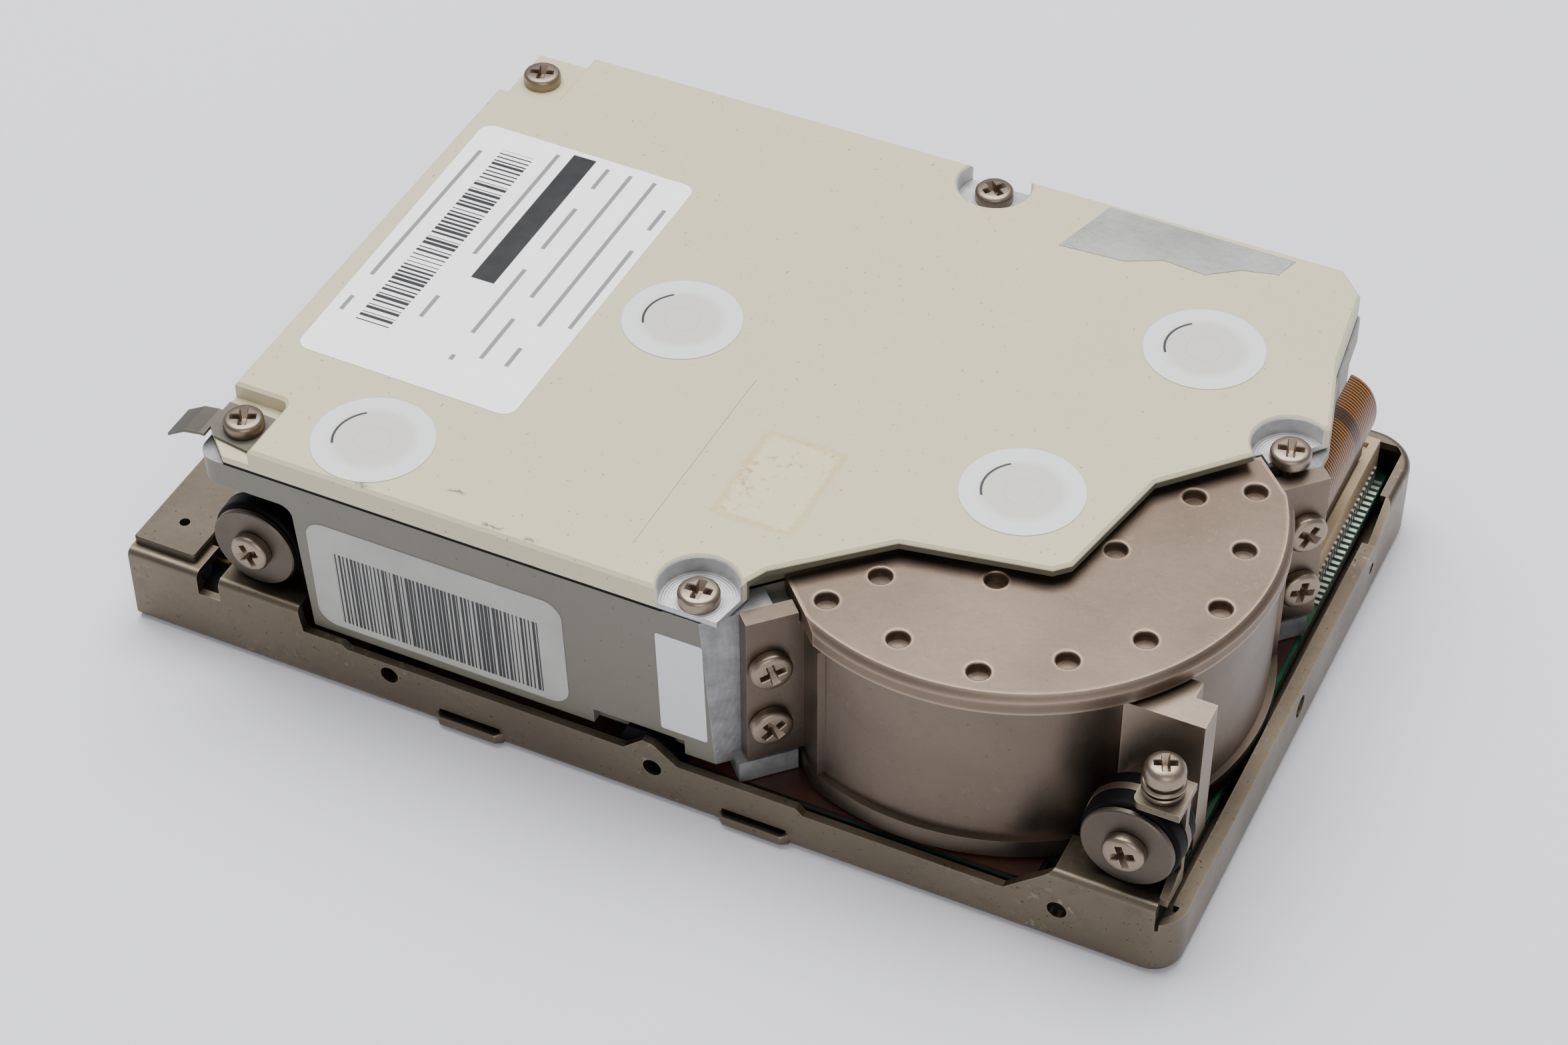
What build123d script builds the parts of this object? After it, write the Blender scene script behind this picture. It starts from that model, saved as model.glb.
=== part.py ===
from build123d import *
from math import atan, cos, degrees, radians, sin, sqrt
import os

os.makedirs("parts", exist_ok=True)

# All sizes are millimetres. Origin: centre of the footprint, on the underside; +Z is up.
# +X runs from the socket end towards the curved motor; -Y is the side towards the photo's camera.

# Overall form
length = 161.0
width = 101.6
height = 41.3
half_len = length / 2
half_wid = width / 2

# Tray of bent sheet steel
sheet = 1.2
bend_radius = 1.5
top_bend_radius = 1.15
flange_top = 13.3
wall_top_left = 9.2
wall_top_mid = 8.55
wall_top_right = 7.2
end_wall_top = 9.8
end_hem_width = 2.1
corner_flange_y = 37.0
corner_ramp = 7.0
near_corner_radius = 4.5
far_corner_radius = 7.0
flange_reach = 7.4
floor_ring_x = 12.0
floor_ring_y = 10.0
slot_length = 9.7
slot_centres = (-25.05, 19.35)
slot_bottom = 2.0
slot_top = 3.1

# Standard fixing holes, tapped for a 6-32 screw
tapped_radius = 1.42
side_hole_z = 6.35
side_hole_x = 63.9
side_hole_gap_short = 60.0
side_hole_gap_long = 101.6
bottom_hole_x = 19.75
bottom_hole_gap_x = 44.45
bottom_hole_gap_y = 95.25

# Rubber-mounted head and disk housing
damper_x_left = -59.9
damper_x_right = 71.9
damper_x_far = 54.0
damper_z = 20.0
grommet_radius = 7.0
groove_depth = 2.0
grommet_out = half_wid - 3.4
grommet_in = half_wid - 9.9
ear_out = half_wid - 6.2
washer_radius = 6.5
washer_thick = 1.0
shoulder_radius = 2.0
cheese_radius = 3.0
cheese_height = 1.8
boss_face = half_wid - 10.2
terminal_x = 74.8
terminal_y = 6.6 - half_wid
tab_bottom = damper_z + grommet_radius + 0.2
fit_gap = 0.05
seat_gap = 0.3

# Circuit board
board_bottom = 5.4
board_thick = 1.6
board_top = board_bottom + board_thick
board_left = -71.0
board_right = 76.4
board_half = half_wid - 1.9

# Casting and cover
casting_bottom = 9.4
casting_left = -66.2
casting_half = half_wid - 0.5
casting_floor = 12.4
wall_top = height - 4.3
draft_angle = 2.7
mount_plane = 61.9
gasket_thick = 0.5
skirt_bottom = wall_top + gasket_thick
lid_thick = 1.4
label_thick = 0.1
lid_top = height - label_thick
lid_bottom = lid_top - lid_thick
skirt_wide = 2.2
disk_room = 48.2
screw_seat_radius = 5.5
pad_margin = 1.2
screw_seat_z = height - 2.9
corner_step_z = height - 2.7
casting_corner_radius = 3.0
cover_head_radius = 2.9
cover_head_height = 2.0
cover_screws_xy = [(-62.6, half_wid - 6.4), (11.9, half_wid - 3.3), (71.1, 11.7), (10.2, 3.3 - half_wid),
                   (-61.5, 6.4 - half_wid)]

# Voice-coil motor and arm pivot
pivot_x = 40.8
pivot_y = -11.9
motor_radius = 37.2
motor_half = 34.6
plate_thick = 3.0
plate_top = height - 3.0
plate_bottom = plate_top - plate_thick
lower_plate_bottom = 8.0
lower_plate_top = lower_plate_bottom + plate_thick
plate_back = 2.9
plate_hole_radius = 1.55
plate_bevel = 0.9
plate_hole_deep = 1.6
shell_inset = 1.0
shell_thick = 1.6
pivot_wall_radius = 11.2
pivot_room_radius = 9.8
ear_face = (mount_plane - (pivot_x - pivot_y)) / sqrt(2)
ear_thick = 2.7
ear_reach = 42.3
ear_screw_u = 39.1
ear_bottom = 11.6
ear_top = plate_top - 1.0
ear_screw_z = (plate_bottom - 6.6, ear_bottom + 6.4)

# Disks and spindle
spindle_x = -16.0
disk_thick = 0.9
disk_pitch = 3.7
disk_count = int((lid_bottom - casting_floor - 6.0) / disk_pitch)
disk_radius = 47.5
hub_radius = 12.5
stack_middle = (casting_floor + lid_bottom) / 2 - 2.9
stack_high = disk_pitch * (disk_count - 1) + disk_thick
hub_top = stack_middle + stack_high / 2 + 0.4
tube_top = hub_top - 3.45
coil_thick = 5.0
swing = 15.0


def motor_plane(h):
    """Sketch plane with local x outwards from the pivot (-45 degrees) and local y along the motor face."""
    return Plane(origin=(pivot_x, pivot_y, h), x_dir=(1, -1, 0), z_dir=(0, 0, 1))


def save(piece, name):
    piece.part.label = name
    export_step(piece.part, f"parts/{name}.step")


def cross_recess(at, size, depth):
    """Two crossed slots cut into a screw head whose top lies on plane `at`."""
    with BuildSketch(at, mode=Mode.PRIVATE) as cross:
        Rectangle(size, size * 0.26)
        Rectangle(size * 0.26, size)
        Circle(size * 0.2)
    extrude(cross.sketch, amount=-depth, mode=Mode.SUBTRACT)


# frame_tray: one folded sheet with a floor ring, three low walls, top flanges and four damper ears
near_profile = [
    (-half_len, 0), (-half_len, flange_top), (-68.9, flange_top), (-68.9, 9.4), (-65.3, 9.4),
    (-65.3, flange_top), (-52.2, flange_top), (-51.5, wall_top_left), (-45.2, wall_top_left),
    (-44.3, wall_top_mid), (-0.5, wall_top_mid), (2.5, 11.2), (4.1, 11.0), (7.8, 8.2), (25.7, 8.2),
    (26.8, wall_top_right), (56.1, wall_top_right), (62.9, flange_top), (77.4, flange_top),
    (77.4, 8.6), (77.9, 8.6), (77.9, end_wall_top), (half_len, end_wall_top), (half_len, 0),
]
far_profile = near_profile[:16] + [
    (40.0, wall_top_right), (46.8, flange_top), (half_len, flange_top), (half_len, 0),
]
with BuildPart() as frame_tray:
    with BuildSketch() as tray_plan:
        Rectangle(length, width)
        fillet(tray_plan.vertices().group_by(Axis.X)[-1].sort_by(Axis.Y)[0], near_corner_radius)
        fillet(tray_plan.vertices().group_by(Axis.X)[-1].sort_by(Axis.Y)[-1], far_corner_radius)
        offset(amount=-sheet, mode=Mode.SUBTRACT)
        with Locations((-half_len, 0)):
            Rectangle(2 * sheet, width - 2 * sheet, mode=Mode.SUBTRACT)
    extrude(amount=flange_top)
    for profile, start in ((near_profile, 0), (far_profile, -half_wid - 1)):
        with BuildSketch(Plane.XZ.offset(start)):
            with BuildLine():
                Polyline(*profile, (half_len + 1, 0), (half_len + 1, 20), (-half_len - 1, 20),
                         (-half_len - 1, 0), close=True)
            make_face()
            with Locations((half_len, 20)):
                Rectangle(2 * (half_len - 77.9), 40, mode=Mode.SUBTRACT)
        extrude(amount=half_wid + 1, mode=Mode.SUBTRACT)
    with BuildSketch(Plane.YZ.offset(77.9)) as end_cut:
        with BuildLine():
            Polyline((-half_wid - 1, end_wall_top), (corner_flange_y - corner_ramp, end_wall_top),
                     (corner_flange_y, flange_top), (corner_flange_y, 20), (-half_wid - 1, 20), close=True)
        make_face()
    extrude(amount=5, mode=Mode.SUBTRACT)
    with BuildSketch() as floor_plan:
        Rectangle(length, width)
        fillet(floor_plan.vertices().group_by(Axis.X)[-1].sort_by(Axis.Y)[0], near_corner_radius)
        fillet(floor_plan.vertices().group_by(Axis.X)[-1].sort_by(Axis.Y)[-1], far_corner_radius)
        RectangleRounded(length - 2 * floor_ring_x, width - 2 * floor_ring_y, 4, mode=Mode.SUBTRACT)
    extrude(amount=sheet)
    # Hem at the top of the end wall and the flange of the far corner
    hem_start = near_corner_radius - half_wid
    hem_end = corner_flange_y - corner_ramp
    with Locations((half_len - end_hem_width / 2, (hem_start + hem_end) / 2, end_wall_top - sheet / 2)):
        Box(end_hem_width, hem_end - hem_start, sheet)
    with BuildSketch(Plane.XY.offset(flange_top - sheet)) as corner_top:
        with Locations((half_len, half_wid)):
            Rectangle(16, half_wid - corner_flange_y, align=(Align.MAX, Align.MAX))
        fillet(corner_top.vertices().group_by(Axis.X)[-1].sort_by(Axis.Y)[-1], far_corner_radius)
        with Locations((half_len - end_hem_width, half_wid - 2.6)):
            Rectangle(20, 20, align=(Align.MAX, Align.MAX), mode=Mode.SUBTRACT)
    extrude(amount=sheet)
    # Top flanges with their ears; mirrored pairs on both long sides
    flanges = [(-half_len, -68.9, 6.2, (-1, 1)), (-65.3, -52.2, flange_reach, (-1, 1)),
               (62.9, 77.4, flange_reach, (-1,)), (46.8, 61.2, flange_reach, (1,))]
    for x0, x1, reach, sides in flanges:
        for side in sides:
            with Locations(((x0 + x1) / 2, side * (half_wid - reach / 2), flange_top - sheet / 2)):
                Box(x1 - x0, reach, sheet)
    # Relief in the flanges for the rubber
    with Locations(*[Location((x, s * (grommet_in + grommet_out) / 2, damper_z), (90, 0, 0)) for x, s in
                     ((damper_x_left, -1), (damper_x_left, 1), (damper_x_right, -1), (damper_x_far, 1))]):
        Cylinder(grommet_radius + seat_gap, grommet_out - grommet_in + 2 * seat_gap, mode=Mode.SUBTRACT)
    ears = [(damper_x_left, -65.3, -52.2, -1), (damper_x_left, -65.3, -52.2, 1),
            (damper_x_right, 64.6, 78.4, -1), (damper_x_far, 46.8, 61.2, 1)]
    for damper_x, ear_l, ear_r, side in ears:
        with BuildSketch(Plane.XZ.offset(-ear_out if side > 0 else ear_out - sheet)):
            with Locations((damper_x, damper_z)):
                Circle(grommet_radius + 0.1)
            with Locations(((ear_l + ear_r) / 2, (flange_top - sheet + damper_z) / 2)):
                Rectangle(ear_r - ear_l, damper_z - flange_top + sheet)
            with Locations((damper_x, damper_z)):
                Circle(grommet_radius - groove_depth, mode=Mode.SUBTRACT)
        extrude(amount=sheet)
    # The near right ear carries a bent tab for the terminal screw and a flared web
    with BuildSketch(Plane.XZ.offset(ear_out - sheet)):
        with Locations((75.4, (18.0 + tab_bottom + sheet) / 2)):
            Rectangle(6.0, tab_bottom + sheet - 18.0)
        with Locations((damper_x_right, damper_z)):
            Circle(grommet_radius - groove_depth, mode=Mode.SUBTRACT)
    extrude(amount=sheet)
    with BuildSketch(Plane.XY.offset(tab_bottom)) as tab_plan:
        with Locations((75.1, terminal_y - 0.3)):
            Rectangle(6.6, 6.4)
        fillet(tab_plan.vertices().group_by(Axis.X)[0], 1.2)
    extrude(amount=sheet)
    with Locations((terminal_x, terminal_y, tab_bottom)):
        Cylinder(1.3, 4 * sheet, mode=Mode.SUBTRACT)
    with BuildSketch(Plane.YZ.offset(77.2)):
        with BuildLine():
            Polyline((-ear_out, flange_top - sheet), (1.9 - half_wid, flange_top - sheet), (1.9 - half_wid, flange_top),
                     (-ear_out - 1.0, 15.4), (-ear_out, 15.4), close=True)
        make_face()
    extrude(amount=sheet)
    # Lanced slots low in both walls
    for slot_x in slot_centres:
        with Locations((slot_x, 0, (slot_bottom + slot_top) / 2)):
            Box(slot_length, width + 2, slot_top - slot_bottom, mode=Mode.SUBTRACT)
    # Standoffs that carry the circuit board
    with BuildSketch(Plane.XY.offset(sheet)):
        with Locations(*[(x, y) for x in (-62, 66) for y in (-44, 44)]):
            Circle(2.6)
    extrude(amount=board_bottom - sheet)
    side_holes = [side_hole_x, side_hole_x - side_hole_gap_short, side_hole_x - side_hole_gap_long]
    with Locations(*[Location((x, 0, side_hole_z), (90, 0, 0)) for x in side_holes]):
        Cylinder(tapped_radius, width + 2, mode=Mode.SUBTRACT)
    bottom_holes = [(x, y) for x in (bottom_hole_x, bottom_hole_x - bottom_hole_gap_x)
                    for y in (-bottom_hole_gap_y / 2, bottom_hole_gap_y / 2)]
    with Locations(*[(x, y, 0) for x, y in bottom_holes]):
        Cylinder(tapped_radius, 6, mode=Mode.SUBTRACT)
    with Locations(Location((half_len, -1.6, 6.2), (0, 90, 0))):
        Cylinder(1.7, 6, mode=Mode.SUBTRACT)
    with Locations(Location((half_len, 29.2, 6.1), (0, 90, 0))):
        Cylinder(0.9, 6, mode=Mode.SUBTRACT)
    long_bends = frame_tray.edges().filter_by(Axis.X).group_by(Axis.Z)[0]
    fillet([e for e in long_bends if abs(abs(e.center().Y) - half_wid) < 0.01], bend_radius)
    top_bends = frame_tray.edges().filter_by(Axis.X).filter_by_position(Axis.Z, flange_top - 0.01, flange_top + 0.01)
    fillet([e for e in top_bends if abs(abs(e.center().Y) - half_wid) < 0.01], top_bend_radius)
save(frame_tray, "frame_tray")

# end_panel: flat plate over the sockets
panel_thick = 1.25
panel_wide = 10.4
panel_x = panel_wide / 2 - half_len
with BuildPart() as end_panel:
    with BuildSketch(Plane.XY.offset(flange_top)):
        with Locations((panel_x, 0)):
            RectangleRounded(panel_wide, width - 3.6, 0.8)
        with Locations((panel_x, 7.5 - half_wid), (panel_x, half_wid - 7.5)):
            Circle(0.8, mode=Mode.SUBTRACT)
    extrude(amount=panel_thick)
    chamfer(end_panel.faces().sort_by(Axis.Z)[-1].outer_wire().edges(), 0.25)
save(end_panel, "end_panel")

# main_board with notches behind the side holes and clearance at the standoffs
notch_depth = 5.0
notch_wide = 8.0
with BuildPart() as main_board:
    with BuildSketch(Plane.XY.offset(board_bottom)) as board_plan:
        with Locations(((board_left + board_right) / 2, 0)):
            RectangleRounded(board_right - board_left, 2 * board_half, 1.5)
        for x in side_holes:
            for side in (-1, 1):
                with Locations((x, side * board_half)):
                    Rectangle(notch_wide, 2 * notch_depth, mode=Mode.SUBTRACT)
        with Locations(*[(x, y) for x in (-62, 66) for y in (-44, 44)]):
            Circle(1.3, mode=Mode.SUBTRACT)
    extrude(amount=board_thick)
save(main_board, "main_board")

with BuildPart() as board_screws:
    with Locations(*[(x, y, board_top) for x in (-62, 66) for y in (-44, 44)]):
        Cylinder(2.4, 1.4, align=(Align.CENTER, Align.CENTER, Align.MIN))
        Cylinder(1.2, board_thick, align=(Align.CENTER, Align.CENTER, Align.MAX))
    for x in (-62, 66):
        for y in (-44, 44):
            cross_recess(Plane.XY.offset(board_top + 1.4).move(Location((x, y, 0))), 2.6, 0.8)
save(board_screws, "board_screws")

# Chips under the board, seen through the floor window: (x, y, width, depth, height)
chips = [(-40, -14, 24, 24, 2.4), (-8, -16, 20, 14, 2.2), (-38, 20, 18, 18, 2.4), (-4, 12, 28, 28, 2.8),
         (30, -18, 16, 12, 2.2), (34, 8, 12, 20, 2.2), (52, -8, 10, 10, 2.0), (52, 20, 14, 14, 2.4)]
with BuildPart() as board_chips:
    for cx, cy, cw, cd, ch in chips:
        with Locations((cx, cy, board_bottom)):
            Box(cw, cd, ch, align=(Align.CENTER, Align.CENTER, Align.MAX))
            Box(cw + 2.4, cd - 2, 0.5, align=(Align.CENTER, Align.CENTER, Align.MAX))
            Box(cw - 2, cd + 2.4, 0.5, align=(Align.CENTER, Align.CENTER, Align.MAX))
save(board_chips, "board_chips")

with BuildPart() as board_capacitors:
    for cx, cy in ((14, -30), (22, -30), (14, 32), (-24, 34), (-56, -30), (-56, 4), (60, -30)):
        with Locations((cx, cy, board_bottom)):
            Box(5.6, 3.2, 2.6, align=(Align.CENTER, Align.CENTER, Align.MAX))
save(board_capacitors, "board_capacitors")

# Sockets at the left end, under the end panel
socket_left = -half_len + 0.6
socket_right = board_left - seat_gap
socket_deep = socket_right - socket_left
socket_bottom = 4.2
socket_top = flange_top - seat_gap
socket_high = socket_top - socket_bottom
socket_mid = (socket_top + socket_bottom) / 2
pin_pitch = 2.54
pin_columns = 25
header_wide = 65.0
header_y = -11.4
with BuildPart() as interface_connector:
    with Locations((socket_left, header_y, socket_mid)):
        Box(socket_deep, header_wide, socket_high, align=(Align.MIN, Align.CENTER, Align.CENTER))
        Box(socket_deep - 1.6, header_wide - 2, socket_high - 2, mode=Mode.SUBTRACT,
            align=(Align.MIN, Align.CENTER, Align.CENTER))
    with Locations((socket_left, header_y, socket_bottom)):
        Box(6, 4.5, 2.2, mode=Mode.SUBTRACT, align=(Align.MIN, Align.CENTER, Align.CENTER))
    pin_spots = [(header_y + (i - (pin_columns - 1) / 2) * pin_pitch, socket_mid + s * pin_pitch / 2)
                 for i in range(pin_columns) for s in (-1, 1)]
    with BuildSketch(Plane.YZ.offset(socket_right - 2)):
        with Locations(*pin_spots):
            Rectangle(0.66, 0.66)
    extrude(amount=4, mode=Mode.SUBTRACT)
save(interface_connector, "interface_connector")

with BuildPart() as interface_pins:
    for row in (-1, 1):
        row_z = socket_mid + row * pin_pitch / 2
        leg_x = board_left + 1.2 + (row + 1) * pin_pitch / 2
        row_y = [y for y, z in pin_spots if z == row_z]
        with BuildSketch(Plane.YZ.offset(socket_left + 1.2)):
            with Locations(*[(y, row_z) for y in row_y]):
                Rectangle(0.64, 0.64)
        extrude(amount=leg_x - socket_left - 1.2)
        with BuildSketch(Plane.XY.offset(board_top)):
            with Locations(*[(leg_x, y) for y in row_y]):
                Rectangle(0.64, 0.64)
        extrude(amount=row_z + 0.32 - board_top)
save(interface_pins, "interface_pins")

power_wide = 21.6
power_y = 32.4
power_pitch = 5.08
with BuildPart() as power_connector:
    with Locations((socket_left, power_y, socket_mid)):
        Box(socket_deep, power_wide, socket_high, align=(Align.MIN, Align.CENTER, Align.CENTER))
    with BuildSketch(Plane.YZ.offset(socket_left)) as power_mouth:
        with Locations((power_y, socket_mid)):
            Rectangle(power_wide - 2, socket_high - 2)
        chamfer(power_mouth.vertices().group_by(Axis.Y)[-1], 2.2)
    extrude(amount=socket_deep - 1.6, mode=Mode.SUBTRACT)
    power_spots = [power_y + (i - 1.5) * power_pitch for i in range(4)]
    with Locations(*[Location((socket_right, y, socket_mid), (0, 90, 0)) for y in power_spots]):
        Cylinder(1.07, 4, mode=Mode.SUBTRACT)
save(power_connector, "power_connector")

with BuildPart() as power_pins:
    for y in power_spots:
        with Locations(Location((socket_left + 1.5, y, socket_mid), (0, 90, 0))):
            Cylinder(1.05, board_left + 3 - socket_left - 1.5, align=(Align.CENTER, Align.CENTER, Align.MIN))
        with Locations((board_left + 2.4, y, board_top)):
            Box(1.2, 1.6, socket_mid - board_top, align=(Align.CENTER, Align.CENTER, Align.MIN))
save(power_pins, "power_pins")

jumper_y = 45.2
with BuildPart() as jumper_block:
    with Locations((board_left + 1.0, jumper_y, board_top)):
        Box(2.5, 5.1, 4.9, align=(Align.CENTER, Align.CENTER, Align.MIN))
    for dy in (-1.27, 1.27):
        for dz in (1.27, 3.81):
            with Locations((board_left + 0.5, jumper_y + dy, board_top + dz)):
                Box(7.5, 0.64, 0.64, align=(Align.MAX, Align.CENTER, Align.CENTER))
save(jumper_block, "jumper_block")

# Tall board-to-board connector at the right end, its row of leads, and the stiffener behind it
flexcon_x = 73.3
flexcon_wide = 3.0
flexcon_top = 14.0
flexcon_y0 = 15.6
flexcon_y1 = 47.8
with BuildPart() as flex_connector:
    with Locations((flexcon_x, (flexcon_y0 + flexcon_y1) / 2, board_top)):
        Box(flexcon_wide, flexcon_y1 - flexcon_y0, flexcon_top - board_top,
            align=(Align.CENTER, Align.CENTER, Align.MIN))
    with Locations((flexcon_x - 0.4, (flexcon_y0 + flexcon_y1) / 2, flexcon_top)):
        Box(1.2, flexcon_y1 - flexcon_y0 - 3, 1.6, mode=Mode.SUBTRACT)
save(flex_connector, "flex_connector")

lead_pitch = 1.27
lead_count = 23
lead_edge = flexcon_x + flexcon_wide / 2
with BuildPart() as flex_connector_leads:
    lead_y = [flexcon_y0 + 2.4 + i * lead_pitch for i in range(lead_count)]
    for reach, rise in ((1.5, 0.35), (0.35, 3.0)):
        with BuildSketch(Plane.XY.offset(board_top)):
            with Locations(*[(lead_edge + reach / 2, y) for y in lead_y]):
                Rectangle(reach, 0.6)
        extrude(amount=rise)
save(flex_connector_leads, "flex_connector_leads")

# Dark sheet that covers the board between the pins and the tall connector
insulator_thick = 0.4
with BuildPart() as board_insulator:
    with BuildSketch(Plane.XY.offset(board_top)):
        with Locations(((board_right - 0.6 - 65.5) / 2, 0)):
            RectangleRounded(board_right - 0.6 + 65.5, 2 * board_half - 1.0, 1.5)
        with Locations((flexcon_x - flexcon_wide / 2 - 0.4, flexcon_y0 - 2.5)):
            Rectangle(20, 60, align=(Align.MIN, Align.MIN), mode=Mode.SUBTRACT)
        with Locations(*[(x, s * board_half) for x in side_holes for s in (-1, 1)]):
            Rectangle(notch_wide + 1, 2 * notch_depth + 1, mode=Mode.SUBTRACT)
        with Locations(*[(x, y) for x in (-62, 66) for y in (-44, 44)]):
            Circle(3.2, mode=Mode.SUBTRACT)
    extrude(amount=insulator_thick)
save(board_insulator, "board_insulator")

# Four rubber dampers, their washers and shoulder screws
damper_spots = [(damper_x_left, -1), (damper_x_left, 1), (damper_x_right, -1), (damper_x_far, 1)]


def along_side(x, y, s):
    """Plane on the line of a damper; its normal points outwards on side s."""
    return Plane(origin=(x, s * y, damper_z), x_dir=(1, 0, 0), z_dir=(0, s, 0))


with BuildPart() as damper_grommets:
    for x, s in damper_spots:
        with BuildSketch(along_side(x, grommet_in, s)):
            Circle(grommet_radius)
            Circle(shoulder_radius + fit_gap, mode=Mode.SUBTRACT)
        extrude(amount=ear_out - sheet - grommet_in)
        with BuildSketch(along_side(x, ear_out - sheet, s)):
            Circle(grommet_radius - groove_depth)
            Circle(shoulder_radius + fit_gap, mode=Mode.SUBTRACT)
        extrude(amount=sheet)
        with BuildSketch(along_side(x, ear_out, s)):
            Circle(grommet_radius)
            Circle(shoulder_radius + fit_gap, mode=Mode.SUBTRACT)
        extrude(amount=grommet_out - ear_out)
    rims = damper_grommets.edges().filter_by(GeomType.CIRCLE)
    fillet([e for e in rims if abs(e.radius - grommet_radius) < 0.01 and
            abs(abs(e.center().Y) - ear_out) > 0.01 and abs(abs(e.center().Y) - ear_out + sheet) > 0.01], 0.8)
save(damper_grommets, "damper_grommets")

with BuildPart() as damper_washers:
    for x, s in damper_spots:
        with BuildSketch(along_side(x, grommet_out, s)):
            Circle(washer_radius)
            Circle(shoulder_radius + fit_gap, mode=Mode.SUBTRACT)
        extrude(amount=washer_thick)
    chamfer(damper_washers.edges().filter_by(lambda e: e.geom_type == GeomType.CIRCLE and
                                             abs(e.radius - washer_radius) < 0.01), 0.2)
save(damper_washers, "damper_washers")

head_base = grommet_out + washer_thick
thread_deep = 3.5
with BuildPart() as damper_screws:
    for x, s in damper_spots:
        with BuildSketch(along_side(x, head_base, s)):
            Circle(cheese_radius)
        extrude(amount=cheese_height)
        with BuildSketch(along_side(x, boss_face, s)):
            Circle(shoulder_radius)
        extrude(amount=head_base - boss_face)
        with BuildSketch(along_side(x, boss_face, s)):
            Circle(1.45)
        extrude(amount=-thread_deep)
    heads = damper_screws.edges().filter_by(GeomType.CIRCLE).filter_by(
        lambda e: abs(abs(e.center().Y) - head_base - cheese_height) < 0.01)
    fillet(heads, 0.4)
    for x, s in damper_spots:
        cross_recess(along_side(x, head_base + cheese_height, s), 3.6, 1.2)
save(damper_screws, "damper_screws")

# Rubber bumpers behind the raised ears of the side walls
with BuildPart() as side_bumpers:
    for s in (-1, 1):
        with BuildSketch(Plane.XZ.offset(half_wid - sheet) if s < 0 else Plane.XZ.offset(sheet + 1.7 - half_wid)):
            with BuildLine():
                Polyline((-2.1, 8.0), (-0.3, 11.6), (2.8, 11.8), (4.5, 11.4), (6.2, 10.1), (7.9, 8.0), close=True)
            make_face()
        extrude(amount=-1.7)
save(side_bumpers, "side_bumpers")

# Screw terminal on the tab: a star washer, a clamped ring and a tall cross-recessed head
terminal_seat = tab_bottom + sheet
terminal_stack = [(2.9, 0.8), (2.2, 0.5), (3.0, 0.7), (2.3, 0.4), (2.8, 2.8)]
with BuildPart() as terminal_screw:
    layer_z = terminal_seat
    for layer_radius, layer_high in terminal_stack:
        with BuildSketch(Plane.XY.offset(layer_z)):
            with Locations((terminal_x, terminal_y)):
                Circle(layer_radius)
        extrude(amount=layer_high)
        layer_z += layer_high
    fillet(terminal_screw.edges().filter_by(GeomType.CIRCLE).sort_by(Axis.Z)[-1], 0.5)
    with BuildSketch(Plane.XY.offset(terminal_seat)):
        with Locations((terminal_x, terminal_y)):
            Circle(1.25)
    extrude(amount=-sheet)
    cross_recess(Plane.XY.offset(layer_z).move(Location((terminal_x, terminal_y, 0))), 3.4, 1.2)
save(terminal_screw, "terminal_screw")


# Outlines shared by the casting, gasket and cover
lid_half = casting_half + 0.1
body_outline = [(casting_left, -39.0), (casting_left, lid_half), (65.1, lid_half), (69.3, 45.9), (71.0, 31.3),
                (74.8, 17.2), (67.0, 7.4), (57.0, -3.3), (53.0, -23.0), (51.0, -25.0), (30.5, -28.8),
                (17.0, -41.0), (15.5, -44.0), (14.2, -lid_half), (-61.4, -lid_half),
                (casting_left, 4.6 - lid_half)]


def seal_face(grow):
    """Outline of the sealed rim: the cover's outline cut back behind the motor, bulging round the pivot."""
    with BuildSketch(Plane.XY, mode=Mode.PRIVATE) as rim:
        with BuildLine():
            Polyline(*body_outline, close=True)
        make_face()
        with BuildSketch(motor_plane(0), mode=Mode.PRIVATE) as beyond:
            with Locations((plate_back - 0.3 + 30, 0)):
                Rectangle(60, 140)
        add(beyond.sketch, mode=Mode.SUBTRACT)
        with Locations((pivot_x, pivot_y)):
            Circle(pivot_wall_radius)
        if grow:
            offset(amount=grow, kind=Kind.INTERSECTION)
    return rim.sketch


rim_outer = seal_face(0)
rim_inner = seal_face(-skirt_wide)

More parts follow.
